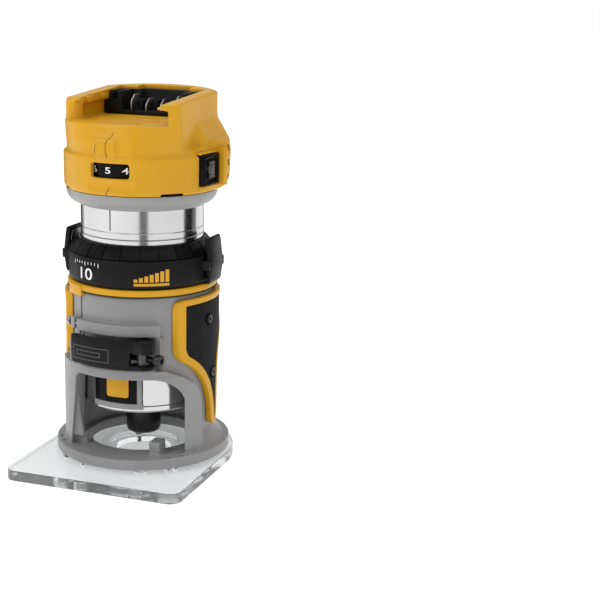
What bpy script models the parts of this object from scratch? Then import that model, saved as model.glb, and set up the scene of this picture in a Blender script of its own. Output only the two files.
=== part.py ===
"""A cordless trim router: a motor unit clamped in a fixed base on a clear D-shaped plate.

Lengths are in metres, +Z is up and the tool faces -Y. Shapes are drawn around the spindle
axis, and everything hangs from one empty that stands on that axis.
"""

import math

import bmesh
import bpy
from mathutils import Matrix, Vector

MM = 0.001

# Driving dimensions
CAN_RADIUS = 34.5 * MM
BASE_BORE = 35.1 * MM
BASE_RADIUS = 40.4 * MM
FLANGE_RADIUS = 49.6 * MM
FLANGE_OPENING = 31.0 * MM
PLATE_RADIUS = 52.1 * MM
PLATE_FRONT = 71.0 * MM
PLATE_THICKNESS = 6.0 * MM
BASE_TOP = 102.2 * MM
COLLAR_TOP = 106.1 * MM
SKIRT_TOP = 122.3 * MM
RING_TOP = 129.6 * MM
CAN_BOTTOM = 34.5 * MM
CAN_TOP = 156.0 * MM
BEZEL_BOTTOM = 148.6 * MM
FOOT_FLOOR = 195.0 * MM
FOOT_TOP = 208.3 * MM
FOOT_SLOPE = 0.056
FOOT_HALF_WIDTH = 34.4 * MM
BAY_HALF_WIDTH = 29.5 * MM
RAIL_HALF_WIDTH = 26.3 * MM
BAY_DEPTH = 29.0 * MM
GAP = 0.3 * MM
SHAFT_RADIUS = 4.0 * MM
NUT_RADIUS = 9.9 * MM
NUT_BOTTOM = 13.6 * MM
NUT_TOP = 30.0 * MM

# The plate reaches further forward than back, so the spindle stands behind the middle.
AXIS_Y = (PLATE_FRONT - PLATE_RADIUS) / 2

# Where the moving pieces turn, around the spindle axis
LEVER_PIVOT = Vector((20.0, -43.0, 72.0)) * MM
TAB_PIVOT_X = 43.5 * MM
TAB_PIVOT_Z = 117.0 * MM
DIAL_PIVOT = Vector((0.7, -24.1, 171.0)) * MM
DIAL_RADIUS = 18.0 * MM
ROCKER_ANGLE = math.radians(81.5)
ROCKER_RADIUS = 42.0 * MM
ROCKER_HEIGHT = 170.0 * MM
BUTTON_HEIGHT = 48.9 * MM
SLIT_ANGLE = math.radians(-32.0)
BOLT_START = Vector((31.6, -44.2, 70.0)) * MM
BOLT_END = Vector((-25.0, -39.1, 70.0)) * MM

SIDES = (("left", -1), ("right", 1))


def clear_scene():
    for old in list(bpy.data.objects):
        bpy.data.objects.remove(old)


def finish(name, colour, roughness, metallic=0.0, alpha=1.0):
    material = bpy.data.materials.new(name)
    material.use_nodes = True
    shader = material.node_tree.nodes["Principled BSDF"]
    shader.inputs["Base Color"].default_value = (*colour, 1.0)
    shader.inputs["Roughness"].default_value = roughness
    shader.inputs["Metallic"].default_value = metallic
    shader.inputs["Alpha"].default_value = alpha
    material.diffuse_color = (*colour, alpha)
    return material


def around(radius, angle, height=0.0):
    """A point at an angle from the front, counted towards +X."""
    return Vector((radius * math.sin(angle), -radius * math.cos(angle), height))


def circle(radius, count, centre=(0.0, 0.0)):
    turn = 2 * math.pi / count
    return [
        (centre[0] + radius * math.cos(i * turn), centre[1] + radius * math.sin(i * turn))
        for i in range(count)
    ]


def closed(mesh):
    """Turns every face of a closed shape outwards."""
    bmesh.ops.recalc_face_normals(mesh, faces=mesh.faces)
    if mesh.calc_volume(signed=True) < 0:
        bmesh.ops.reverse_faces(mesh, faces=mesh.faces)
    return mesh


def loft(loops):
    """A closed solid through loops of equally many points, with flat ends."""
    mesh = bmesh.new()
    rings = [[mesh.verts.new(point) for point in loop] for loop in loops]
    count = len(rings[0])
    for lower, upper in zip(rings, rings[1:]):
        for i in range(count):
            j = (i + 1) % count
            mesh.faces.new((lower[i], lower[j], upper[j], upper[i]))
    mesh.faces.new(rings[0])
    mesh.faces.new(rings[-1])
    return closed(mesh)


def prism(outline, bottom, top):
    return loft([[(x, y, z) for x, y in outline] for z in (bottom, top)])


def ring_prism(outer, inner, bottom, top):
    """A wall between two outlines of equally many points."""
    mesh = bmesh.new()
    rings = [
        [mesh.verts.new((x, y, z)) for x, y in outline]
        for outline, z in ((outer, bottom), (outer, top), (inner, top), (inner, bottom))
    ]
    count = len(outer)
    for a, b in zip(rings, rings[1:] + rings[:1]):
        for i in range(count):
            j = (i + 1) % count
            mesh.faces.new((a[i], a[j], b[j], b[i]))
    return closed(mesh)


def turned(profile, steps=48, start=0.0, sweep=2 * math.pi):
    """A closed outline of (radius, height) points turned about the spindle axis."""
    mesh = bmesh.new()
    whole = sweep > 2 * math.pi - 1e-6
    columns = []
    for i in range(steps if whole else steps + 1):
        angle = start + sweep * i / steps
        columns.append(
            [
                columns[0][k] if columns and radius == 0 else mesh.verts.new(around(radius, angle, z))
                for k, (radius, z) in enumerate(profile)
            ]
        )
    pairs = list(zip(columns, columns[1:] + columns[:1] if whole else columns[1:]))
    for a, b in pairs:
        for k in range(len(profile)):
            n = (k + 1) % len(profile)
            corners = list(dict.fromkeys((a[k], a[n], b[n], b[k])))
            if len(corners) > 2:
                mesh.faces.new(corners)
    if not whole:
        mesh.faces.new(columns[0])
        mesh.faces.new(columns[-1])
    return closed(mesh)


def tube(inner, outer, bottom, top, steps=48, chamfer=0.0):
    profile = [(inner, bottom), (outer - chamfer, bottom), (outer, bottom + chamfer)]
    profile += [(outer, top - chamfer), (outer - chamfer, top), (inner, top)]
    if not chamfer:
        profile = [(inner, bottom), (outer, bottom), (outer, top), (inner, top)]
    return turned(profile, steps)


def sector(inner, outer, bottom, top, first, last, steps=12):
    """A piece of a tube between two angles in degrees from the front."""
    profile = [(inner, bottom), (outer, bottom), (outer, top), (inner, top)]
    return turned(profile, steps, math.radians(first), math.radians(last - first))


def box(low, high):
    outline = [(low[0], low[1]), (high[0], low[1]), (high[0], high[1]), (low[0], high[1])]
    return prism(outline, low[2], high[2])


def rod(start, end, radius, sides=16):
    start = Vector(start)
    along = Vector(end) - start
    mesh = prism(circle(radius, sides), 0.0, along.length)
    turn = along.to_track_quat("Z", "Y").to_matrix().to_4x4()
    mesh.transform(Matrix.Translation(start) @ turn)
    return mesh


def turned_to(mesh, angle):
    """Moves a shape from the front to an angle from the front."""
    mesh.transform(Matrix.Rotation(angle, 4, "Z"))
    return mesh


def mirrored(mesh, side):
    if side < 0:
        mesh.transform(Matrix.Scale(-1, 4, (1, 0, 0)))
        closed(mesh)
    return mesh


def pivot(name, place, parent=None):
    """An empty on a joint's axis, or on the spindle axis."""
    empty = bpy.data.objects.new(name, None)
    bpy.context.collection.objects.link(empty)
    empty.parent = parent
    empty.location = place
    return empty


def add(name, mesh, material, parent):
    """A piece whose shape is drawn around the spindle axis and whose origin is its parent's."""
    offset = Vector() if parent.parent is None else parent.location
    mesh.transform(Matrix.Translation(-offset))
    data = bpy.data.meshes.new(name)
    mesh.to_mesh(data)
    mesh.free()
    data.materials.append(material)
    data.shade_smooth()
    data.set_sharp_from_angle(angle=math.radians(32))
    piece = bpy.data.objects.new(name, data)
    bpy.context.collection.objects.link(piece)
    piece.parent = parent
    return piece


def combine(piece, mesh, operation, label):
    helper = add(f"{piece.name}_{label}", mesh, piece.data.materials[0], piece.parent)
    helper.hide_render = True
    helper.display_type = "WIRE"
    step = piece.modifiers.new(label, "BOOLEAN")
    step.operation = operation
    step.object = helper


def cut(piece, mesh, label):
    combine(piece, mesh, "DIFFERENCE", label)


def join(piece, mesh, label):
    combine(piece, mesh, "UNION", label)


def smooth_curve(points, steps):
    """Points along a Catmull-Rom curve through the given ones, ends included."""
    places = [Vector(point) for point in points]
    padded = [places[0], *places, places[-1]]
    found = []
    for before, a, b, after in zip(padded, padded[1:], padded[2:], padded[3:]):
        bend = 2 * before - 5 * a + 4 * b - after
        twist = 3 * a - before - 3 * b + after
        for i in range(steps):
            t = i / steps
            found.append(tuple((2 * a + (b - before) * t + bend * t**2 + twist * t**3) / 2))
    return found + [tuple(points[-1])]


def clearance(point, outline):
    """How far a point is from an outline."""
    found = []
    for start, end in zip(outline, outline[1:] + outline[:1]):
        start, end = Vector(start), Vector(end)
        along = end - start
        share = min(1.0, max(0.0, (point - start).dot(along) / along.length_squared))
        found.append((point - start - along * share).length)
    return min(found)


def inset(outline, ahead_width, behind_width):
    """An anticlockwise outline moved inwards, by one width on its low side and another on its high one."""
    found = []
    for i, corner in enumerate(outline):
        corner = Vector(corner)
        ahead = (Vector(outline[(i + 1) % len(outline)]) - corner).normalized()
        behind = (corner - Vector(outline[i - 1])).normalized()
        normal = (ahead.orthogonal() + behind.orthogonal()).normalized()
        width = behind_width + (ahead_width - behind_width) * (1 + normal.x) / 2
        point = corner + normal * width / max(0.5, normal.dot(ahead.orthogonal()))
        if clearance(point, outline) > 0.93 * width:
            found.append(tuple(point))
    return found


# ---------------------------------------------------------------- base


def plate_outline():
    """A D: straight sides and front, rounded front corners, a half circle behind."""
    corner = 7.0 * MM
    outline = [(around(PLATE_RADIUS, math.pi / 2 + math.pi * i / 24)) for i in range(25)]
    outline = [(point.x, point.y) for point in outline]
    for side, first in ((-1, math.pi), (1, 1.5 * math.pi)):
        centre = (side * (PLATE_RADIUS - corner), -PLATE_FRONT + corner)
        for i in range(6):
            angle = first + math.pi / 2 * i / 5
            outline.append((centre[0] + corner * math.cos(angle), centre[1] + corner * math.sin(angle)))
    return outline


PLATE_SCREWS = [around(41.0 * MM, math.radians(angle)) for angle in (-66, 66, 150, 210)]
PLATE_HOLES = [around(46.8 * MM, math.radians(angle)) for angle in (-37.5, -17.5, 23, 43)]


def make_plate(root, clear):
    plate = add("sub_base", prism(plate_outline(), 0.0, PLATE_THICKNESS), clear, root)
    cut(plate, tube(0.0, 16.0 * MM, -1 * MM, 8 * MM, 28), "bit_opening")
    cut(plate, tube(0.0, 20.0 * MM, 3.4 * MM, 8 * MM, 32), "guide_step")
    for i, place in enumerate(PLATE_SCREWS):
        shank = rod((place.x, place.y, -1 * MM), (place.x, place.y, 8 * MM), 2.3 * MM, 12)
        head = rod((place.x, place.y, -1 * MM), (place.x, place.y, 2.8 * MM), 4.2 * MM, 12)
        cut(plate, shank, f"screw_hole_{i}")
        cut(plate, head, f"screw_head_{i}")
    for i, place in enumerate(PLATE_HOLES):
        hole = rod((place.x, place.y, 2.0 * MM), (place.x, place.y, 8 * MM), 4.2 * MM, 12)
        cut(plate, hole, f"recess_{i}")
    return plate


def window_outline():
    """The front window seen from the front: a square left corner and a round right one."""
    outline = [(-30.5 * MM, 11.6 * MM), (36.6 * MM, 11.6 * MM), (36.6 * MM, 30 * MM)]
    radius = 15.0 * MM
    centre = (21.6 * MM, 41.6 * MM)
    for i in range(7):
        angle = math.pi / 2 * i / 6
        outline.append((centre[0] + radius * math.cos(angle), centre[1] + radius * math.sin(angle)))
    return outline + [(-20.5 * MM, 56.6 * MM), (-24 * MM, 53.5 * MM), (-25.6 * MM, 42 * MM)]


def facing_front(outline, near, far):
    """An outline of (x, z) points extruded along Y."""
    return loft([[(x, y, z) for x, z in outline] for y in (near, far)])


def front_legs():
    """The thick band around the front window; its right edge follows the window's arch."""
    loops = []
    for height, last in ((11.2, 74), (20, 72), (36, 70), (46, 66), (52, 60), (57, 50), (61.4, 38)):
        angles = [math.radians(-61 + (last + 61) * i / 20) for i in range(21)]
        loop = [around(38.5 * MM, angle, height * MM) for angle in angles]
        loop += [around(44.2 * MM, angle, height * MM) for angle in angles[::-1]]
        loops.append(loop)
    return loft(loops)


def make_base_body(root, casting):
    wall = [
        (BASE_BORE, PLATE_THICKNESS + 4 * MM),
        (BASE_RADIUS, PLATE_THICKNESS + 4 * MM),
        (BASE_RADIUS, BASE_TOP - 0.8 * MM),
        (BASE_RADIUS - 0.8 * MM, BASE_TOP),
        (BASE_BORE, BASE_TOP),
    ]
    base = add("base_body", turned(wall, 44), casting, root)
    flare = [(BASE_BORE + 2 * MM, 11 * MM), (48.0 * MM, 11 * MM), (44.8 * MM, 13.8 * MM)]
    flare += [(42.4 * MM, 17 * MM), (40.2 * MM, 22.4 * MM), (BASE_BORE + 2 * MM, 22.4 * MM)]
    join(base, turned(flare, 28, math.radians(66), math.radians(240)), "flare")
    join(base, front_legs(), "legs")
    cut(base, facing_front(window_outline(), -60 * MM, -5 * MM), "window")
    flange_bottom = PLATE_THICKNESS + GAP
    join(base, tube(FLANGE_OPENING, FLANGE_RADIUS, flange_bottom, 12.1 * MM, 48, 0.5 * MM), "flange")
    channel = sector(39.2 * MM, 43 * MM, 61.8 * MM, 81.2 * MM, -36, 37.4, 9)
    cut(base, channel, "lever_channel")
    join(base, sector(38 * MM, 44.6 * MM, 80.8 * MM, 87.2 * MM, -30.4, 37, 9), "upper_ledge")
    join(base, sector(38 * MM, 44.6 * MM, 57.0 * MM, 62.2 * MM, -30.4, 33, 9), "lower_ledge")
    join(base, sector(38 * MM, 44.6 * MM, 80.8 * MM, 87.2 * MM, -39.6, -33.6, 3), "nut_seat")
    join(base, box((-25.6 * MM, -41.2 * MM, 64 * MM), (-22.6 * MM, -31 * MM, 76 * MM)), "bolt_lug")
    join(base, box((17 * MM, -36.0 * MM, 64.6 * MM), (27 * MM, -31.5 * MM, 79.8 * MM)), "lever_pad")
    join(base, box((18.6 * MM, -33.6 * MM, 11 * MM), (25 * MM, -24.6 * MM, 19 * MM)), "right_block")
    join(base, box((-28 * MM, -30 * MM, 11 * MM), (-21.6 * MM, -21.6 * MM, 19 * MM)), "left_block")
    slit = box((-0.7 * MM, -41.4 * MM, 50 * MM), (0.7 * MM, -30 * MM, 110 * MM))
    cut(base, turned_to(slit, SLIT_ANGLE), "clamp_slit")
    bolt_way = rod(BOLT_START, BOLT_END + (BOLT_END - BOLT_START) * 0.01, 1.8 * MM, 12)
    cut(base, bolt_way, "bolt_hole")
    start, end = stud_ends()
    cut(base, rod(start, end, 1.3 * MM, 12), "stud_hole")
    for i, place in enumerate(PLATE_SCREWS):
        hole = rod((place.x, place.y, 0.0), (place.x, place.y, 11 * MM), 1.9 * MM, 8)
        cut(base, hole, f"screw_hole_{i}")
    for i, (x, y) in enumerate(((-40.5, -23.3), (-35.5, -30.0), (31.0, -34.1), (36.6, -28.9))):
        cut(base, rod((x * MM, y * MM, 7 * MM), (x * MM, y * MM, 14 * MM), 1.3 * MM, 8), f"dowel_hole_{i}")
    for side_name, side in SIDES:
        for i, (y, z) in enumerate(GRIP_SCREWS):
            hole = rod((side * 37.5 * MM, y, z), (side * 46 * MM, y, z), 1.7 * MM, 8)
            cut(base, hole, f"grip_hole_{side_name}_{i}")
    return base


def stud_ends():
    middle = around(43.0 * MM, math.radians(-33.0), 84.0 * MM)
    along = Vector((math.cos(math.radians(-33.0)), math.sin(math.radians(-33.0)), 0.0))
    return middle - along * 9.0 * MM, middle + along * 7.0 * MM


def make_clamp(root, steel, black_steel):
    start, end = stud_ends()
    along = (end - start).normalized()
    add("clamp_stud", rod(start + along * 0.5 * MM, end - along * GAP, 1.0 * MM, 12), steel, root)
    nut = add("clamp_nut", rod(start + along * 0.9 * MM, start + along * 3.2 * MM, 2.6 * MM, 6), steel, root)
    cut(nut, rod(start - along * MM, end, 1.3 * MM, 12), "thread")
    along = (BOLT_END - BOLT_START).normalized()
    head_start = BOLT_START + along * 0.2 * MM
    bolt = add("clamp_bolt", rod(head_start, BOLT_END - along * GAP, 1.5 * MM, 12), black_steel, root)
    join(bolt, rod(head_start, head_start + along * 3.2 * MM, 3.3 * MM, 20), "head")
    cut(bolt, rod(head_start - along * MM, head_start + along * 2.2 * MM, 1.7 * MM, 6), "hex_socket")
    x, y, _ = LEVER_PIVOT
    barrel = add("pivot_barrel", rod((x, y, 64.8 * MM), (x, y, 79.6 * MM), 3.5 * MM, 20), steel, root)
    cut(barrel, rod(BOLT_START, BOLT_END, 1.8 * MM, 12), "bolt_hole")


GRIP_SCREWS = ((-6.0 * MM, 86.0 * MM), (-1.0 * MM, 54.0 * MM))


def grip_outline():
    """The grip seen from the side, as (y, z): wide at the top, running to a tip at the flange."""
    front = [(-24.0, 99.6), (-26.6, 98.2), (-27.6, 94), (-27.6, 82), (-27.4, 71), (-25.0, 65.6)]
    front += [(-18.8, 60.6), (-12.4, 53.6), (-7.0, 44.6), (-4.0, 34.5), (-3.4, 27), (-1.6, 23.4)]
    rear = [(4.0, 23.0), (7.6, 27.4), (9.6, 40), (11.4, 56), (15, 72), (22.0, 80), (25.6, 86)]
    rear += [(26.2, 93), (25.0, 98.4), (21.5, 99.8)]
    return [(y * MM, z * MM) for y, z in smooth_curve(front, 2) + smooth_curve(rear, 2)]


def facing_side(outline, side):
    """An outline of (y, z) points extruded outwards, on the left (-1) or the right (1)."""
    return loft([[(side * x, y, z) for y, z in outline] for x in (24 * MM, 60 * MM)])


def side_wall(outer, side):
    """The part of a wall around the base that its grip is cut from."""
    return mirrored(sector(BASE_RADIUS + GAP, outer, 15 * MM, 110 * MM, 42, 138, 20), side)


def make_grips(root, yellow, rubber):
    outline = grip_outline()
    for side_name, side in SIDES:
        frame = add(f"grip_frame_{side_name}", side_wall(43.2 * MM, side), yellow, root)
        combine(frame, facing_side(outline, side), "INTERSECT", "outline")
        opening = inset(outline, 4.2 * MM, 2.0 * MM)
        cut(frame, facing_side(opening, side), "opening")
        pad = add(f"grip_pad_{side_name}", side_wall(43.9 * MM, side), rubber, root)
        combine(pad, facing_side(inset(opening, GAP, GAP), side), "INTERSECT", "outline")
        for level, (y, z) in zip(("upper", "lower"), GRIP_SCREWS):
            well = rod((side * 42.2 * MM, y, z), (side * 50 * MM, y, z), 3.4 * MM, 14)
            hole = rod((side * 36 * MM, y, z), (side * 50 * MM, y, z), 1.7 * MM, 10)
            cut(pad, well, f"{level}_well")
            cut(pad, hole, f"{level}_hole")


def make_screw(name, start, direction, length, head_radius, shank_radius, material, root):
    """A screw whose head's outer face is at start, pointing along direction."""
    start = Vector(start)
    direction = Vector(direction).normalized()
    head = 1.6 * MM
    screw = add(name, rod(start, start + direction * head, head_radius, 12), material, root)
    join(screw, rod(start + direction * head * 0.5, start + direction * length, shank_radius, 8), "shank")
    cut(screw, rod(start - direction * MM, start + direction * 1.0 * MM, head_radius * 0.45, 6), "socket")


def make_screws(root, black_steel):
    for i, place in enumerate(PLATE_SCREWS):
        start = (place.x, place.y, 1.0 * MM)
        make_screw(f"plate_screw_{i + 1}", start, (0, 0, 1), 9 * MM, 3.8 * MM, 1.5 * MM, black_steel, root)
    for side_name, side in SIDES:
        for level, (y, z) in zip(("upper", "lower"), GRIP_SCREWS):
            name = f"grip_screw_{side_name}_{level}"
            start = (side * 44.1 * MM, y, z)
            make_screw(name, start, (-side, 0, 0), 6.0 * MM, 2.6 * MM, 1.3 * MM, black_steel, root)


def make_collar_ring(root, yellow):
    band = tube(35.3 * MM, 42.2 * MM, BASE_TOP + GAP, COLLAR_TOP, 44, 0.5 * MM)
    collar = add("collar_ring", band, yellow, root)
    tab = sector(BASE_RADIUS + GAP, 43.0 * MM, 99.9 * MM, 105.6 * MM, -46, -27, 4)
    join(collar, tab, "front_tab")


def make_base(root, look):
    make_plate(root, look["clear"])
    make_base_body(root, look["casting"])
    make_clamp(root, look["steel"], look["black_steel"])
    make_grips(root, look["yellow"], look["rubber"])
    make_screws(root, look["black_steel"])
    make_collar_ring(root, look["yellow"])


# ---------------------------------------------------------------- lever


def lever_outline():
    """The lever from above: a curved band whose right end is a hub around the barrel."""
    outline = [around(50.0 * MM, math.radians(a)) for a in (-27.5, -20, -12, -4, 4, 12, 19)]
    hub = [LEVER_PIVOT + around(6.6 * MM, math.radians(a)) for a in (20, 48, 76, 104, 132, 160, 188, 216)]
    inner = [around(46.4 * MM, math.radians(a)) for a in (12, 4, -4, -12, -20, -27)]
    return [(point.x, point.y) for point in outline + hub + inner]


def make_lever(root, black):
    place = pivot("locking_lever_pivot", LEVER_PIVOT, root)
    lever = add("locking_lever", prism(lever_outline(), 64.5 * MM, 80.0 * MM), black, place)
    x, y, _ = LEVER_PIVOT
    cut(lever, rod((x, y, 60 * MM), (x, y, 85 * MM), 3.8 * MM, 24), "barrel_hole")
    fork = box((x - 6.0 * MM, y - 12 * MM, 66.4 * MM), (x + 9.0 * MM, y + 9 * MM, 73.6 * MM))
    cut(lever, fork, "fork")
    room = box((x - 14.0 * MM, y - 2.2 * MM, 66.4 * MM), (x - 5.0 * MM, y + 9 * MM, 73.6 * MM))
    cut(lever, room, "bolt_room")


# ---------------------------------------------------------------- release collar and depth ring


def make_release_collar(root, black):
    place = pivot("release_collar_slide", Vector((0, 0, 0)), root)
    skirt = [
        (35.3 * MM, COLLAR_TOP + GAP),
        (40.2 * MM, COLLAR_TOP + GAP),
        (41.4 * MM, COLLAR_TOP + 1.6 * MM),
        (41.5 * MM, SKIRT_TOP - 0.5 * MM),
        (41.0 * MM, SKIRT_TOP),
        (38.2 * MM, SKIRT_TOP),
        (38.2 * MM, 112.0 * MM),
        (35.3 * MM, 112.0 * MM),
    ]
    collar = add("release_collar", turned(skirt, 44), black, place)
    for side_name, side in SIDES:
        for end in (-1, 1):
            low = sorted((end * 8.9 * MM, end * 11.0 * MM))
            ear = box((38.8 * MM, low[0], 114.4 * MM), (45.2 * MM, low[1], 119.6 * MM))
            join(collar, mirrored(ear, side), f"ear_{side_name}_{end + 1}")
        x = side * TAB_PIVOT_X
        pin_way = rod((x, -14 * MM, TAB_PIVOT_Z), (x, 14 * MM, TAB_PIVOT_Z), 0.95 * MM, 12)
        cut(collar, pin_way, f"pin_hole_{side_name}")
    return place


def make_depth_ring(slide, black):
    place = pivot("depth_ring_pivot", Vector((0, 0, 0)), slide)
    ribs = 24
    loops = []
    for height, radius in ((SKIRT_TOP + GAP, 41.5 * MM), (RING_TOP, 36.4 * MM)):
        loop = []
        for i in range(ribs):
            for offset, depth in ((-7.5, 0.7 * MM), (-6.5, 0.0), (6.5, 0.0)):
                loop.append(around(radius - depth, math.radians(i * 15 + offset), height))
        loops.append(loop)
    ring = add("depth_ring", loft(loops), black, place)
    join(ring, tube(33.0 * MM, 37.8 * MM, 112.4 * MM, SKIRT_TOP + 1.0 * MM, 40), "nut_sleeve")
    cut(ring, tube(0.0, 34.9 * MM, 110 * MM, 135 * MM, 48), "bore")


def tab_profile():
    """A release tab seen along its pin, as (x, z): its foot, its outer face and its finger pad."""
    points = [(42.5, 107.0), (44.2, 107.0), (44.9, 111), (45.5, 115), (45.5, 119.2), (44.9, 124)]
    points += [(44.2, 129.6), (43.4, 131.8), (41.6, 131.6), (41.4, 129.8), (42.2, 124.6), (42.5, 121)]
    return [(x * MM, z * MM) for x, z in points]


def make_tabs(slide, black, steel):
    for side_name, side in SIDES:
        x = side * TAB_PIVOT_X
        place = pivot(f"tab_{side_name}_pivot", Vector((x, 0, TAB_PIVOT_Z)), slide)
        shape = mirrored(facing_front(tab_profile(), -8.5 * MM, 8.5 * MM), side)
        tab = add(f"tab_{side_name}", shape, black, place)
        ends = ((x, -14 * MM, TAB_PIVOT_Z), (x, 14 * MM, TAB_PIVOT_Z))
        cut(tab, rod(*ends, 0.95 * MM, 12), "pin_hole")
        room = box((41.0 * MM, -2.9 * MM, 115.3 * MM), (45.05 * MM, 2.9 * MM, 118.7 * MM))
        cut(tab, mirrored(room, side), "spring_room")
        pin = ((x, -10.8 * MM, TAB_PIVOT_Z), (x, 10.8 * MM, TAB_PIVOT_Z))
        add(f"tab_pin_{side_name}", rod(*pin, 0.7 * MM, 12), steel, slide)
        centre = Vector((x, 0, TAB_PIVOT_Z))
        spring = coil(centre, (0, 1, 0), 1.2 * MM, 0.22 * MM, 4.4 * MM, 3)
        add(f"tab_spring_{side_name}", spring, steel, slide)


def coil(centre, axis, radius, wire, length, turns, per_turn=9, sides=4):
    """A helical spring, as one closed tube along a helix."""
    loops = []
    steps = turns * per_turn
    for i in range(steps + 1):
        angle = 2 * math.pi * i / per_turn
        out = Vector((math.cos(angle), math.sin(angle), 0))
        place = out * radius + Vector((0, 0, length * (i / steps - 0.5)))
        loop = []
        for k in range(sides):
            turn = 2 * math.pi * k / sides
            loop.append(place + out * wire * math.cos(turn) + Vector((0, 0, wire * math.sin(turn))))
        loops.append(loop)
    mesh = loft(loops)
    turn = Vector(axis).to_track_quat("Z", "Y").to_matrix().to_4x4()
    mesh.transform(Matrix.Translation(centre) @ turn)
    return mesh


# ---------------------------------------------------------------- motor


def make_can(motor, polished):
    inner = CAN_RADIUS - 2 * MM
    groove = 0.4 * MM
    profile = [(9.5 * MM, CAN_BOTTOM), (CAN_RADIUS - 1.4 * MM, CAN_BOTTOM)]
    profile.append((CAN_RADIUS, CAN_BOTTOM + 1.2 * MM))
    for height, width in ((38.0, 0.8), (132.0, 0.8)):
        low = height * MM
        high = (height + width) * MM
        profile += [(CAN_RADIUS, low), (CAN_RADIUS - groove, (low + high) / 2), (CAN_RADIUS, high)]
    profile += [(CAN_RADIUS, CAN_TOP), (inner, CAN_TOP), (inner, CAN_BOTTOM + 3 * MM)]
    profile += [(13.6 * MM, CAN_BOTTOM + 3 * MM), (13.6 * MM, 46.0 * MM), (11.3 * MM, 46.0 * MM)]
    profile += [(11.3 * MM, CAN_BOTTOM + 3 * MM), (9.5 * MM, CAN_BOTTOM + 3 * MM)]
    can = add("motor_can", turned(profile, 44), polished, motor)
    cut(can, sector(30 * MM, 36 * MM, 39.6 * MM, 55.5 * MM, -27, 25, 10), "lock_opening")
    line = box((-0.35 * MM, -36 * MM, 136.6 * MM), (0.35 * MM, -34.1 * MM, 160 * MM))
    cut(can, turned_to(line, math.radians(-5.6)), "guide_line")
    for side_name, side in SIDES:
        lens_way = rod((side * 17 * MM, -18 * MM, 30 * MM), (side * 17 * MM, -18 * MM, 40 * MM), 2.9 * MM, 16)
        cut(can, lens_way, f"lens_hole_{side_name}")
    return can


def make_bezel(motor, grey):
    inner = CAN_RADIUS + GAP
    outline = [(inner, BEZEL_BOTTOM), (35.6 * MM, BEZEL_BOTTOM)]
    for i in range(1, 5):
        angle = math.pi / 2 * i / 4
        outline.append((35.6 * MM + 6.6 * MM * math.sin(angle), 157.3 * MM - 8.0 * MM * math.cos(angle)))
    outline += [(39.2 * MM, 157.3 * MM), (37.5 * MM, 153.5 * MM), (inner, 152.0 * MM)]
    add("lower_bezel", turned(outline, 44), grey, motor)


def blend(value, low, high):
    """0 up to low, 1 from high, smooth between."""
    share = min(1.0, max(0.0, (value - low) / (high - low)))
    return share * share * (3 - 2 * share)


def housing_loop(height, front, rear, half_width, dip, count, slope=0.0):
    """One level of the housing: round, wider behind, flat at the sides, scooped in front."""
    loop = []
    for i in range(count):
        angle = 2 * math.pi * (i + 0.5) / count
        from_front = abs(math.degrees(math.remainder(angle, 2 * math.pi)))
        radius = front + (rear - front) * blend(from_front, 88, 106)
        if from_front < 44:
            radius -= dip * math.cos(math.radians(from_front * 90 / 44)) ** 2
        radius = min(radius, half_width / max(1e-6, abs(math.sin(angle))))
        point = around(radius, angle, height)
        point.z += slope * point.y
        loop.append(point)
    return loop


# Height, front radius, rear radius, half width and front scoop of each level, in millimetres
HOUSING_LEVELS = (
    (157.6, 42.4, 44.2, 60, 0),
    (158.6, 43.1, 46.0, 60, 0),
    (163.0, 43.3, 48.7, 60, 0),
    (177.4, 43.3, 49.3, 60, 0),
    (179.0, 42.3, 49.2, 60, 0),
    (186.0, 42.2, 48.4, 40.0, 1.5),
    (191.0, 42.4, 46.0, 36.6, 3.4),
    (194.8, 42.8, 43.9, 34.6, 5.0),
    (199.0, 43.0, 43.5, 34.4, 5.4),
)


def housing_body(count):
    loops = [
        housing_loop(z * MM, front * MM, rear * MM, half * MM, dip * MM, count)
        for z, front, rear, half, dip in HOUSING_LEVELS
    ]
    for below in (1.0 * MM, 0.0):
        inwards = 1.0 * MM - below
        radii = (43.0 * MM - inwards, 43.5 * MM - inwards, FOOT_HALF_WIDTH - inwards)
        loops.append(housing_loop(FOOT_TOP - below, *radii, 5.4 * MM, count, FOOT_SLOPE))
    return loft(loops)


def housing_cavity(count):
    wall = 2.6
    loops = [housing_loop(150 * MM, 39.8 * MM, 41.0 * MM, 60 * MM, 0, count)]
    for z, front, rear, half, dip in HOUSING_LEVELS[2:7]:
        loops.append(
            housing_loop(z * MM, (front - wall) * MM, (rear - wall) * MM, (half - wall) * MM, dip * MM, count)
        )
    loops.append(housing_loop(192.3 * MM, 36.0 * MM, 38.0 * MM, 31.0 * MM, 1.0 * MM, count))
    return loft(loops)


def bay_shape():
    """What the battery slides through, as (x, z), narrower above its rails."""
    outline = []
    for side in (-1, 1):
        corners = [(BAY_HALF_WIDTH, FOOT_FLOOR), (BAY_HALF_WIDTH, 202.8 * MM)]
        corners += [(RAIL_HALF_WIDTH, 203.6 * MM), (RAIL_HALF_WIDTH, 220 * MM)]
        outline += [(side * x, z) for x, z in (corners if side > 0 else corners[::-1])]
    return outline


# Each screw's place along Y, its height and how far out its boss reaches into the wall
HOUSING_SCREWS = (
    (-19.0 * MM, 162.0 * MM, 36.6 * MM),
    (-19.0 * MM, 187.6 * MM, 35.0 * MM),
    (28.0 * MM, 163.0 * MM, 36.0 * MM),
    (28.0 * MM, 187.6 * MM, 33.0 * MM),
)


def switch_box(half_width, low, high, near, far):
    shape = box((-half_width, -far, low), (half_width, -near, high))
    return turned_to(shape, ROCKER_ANGLE)


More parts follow.
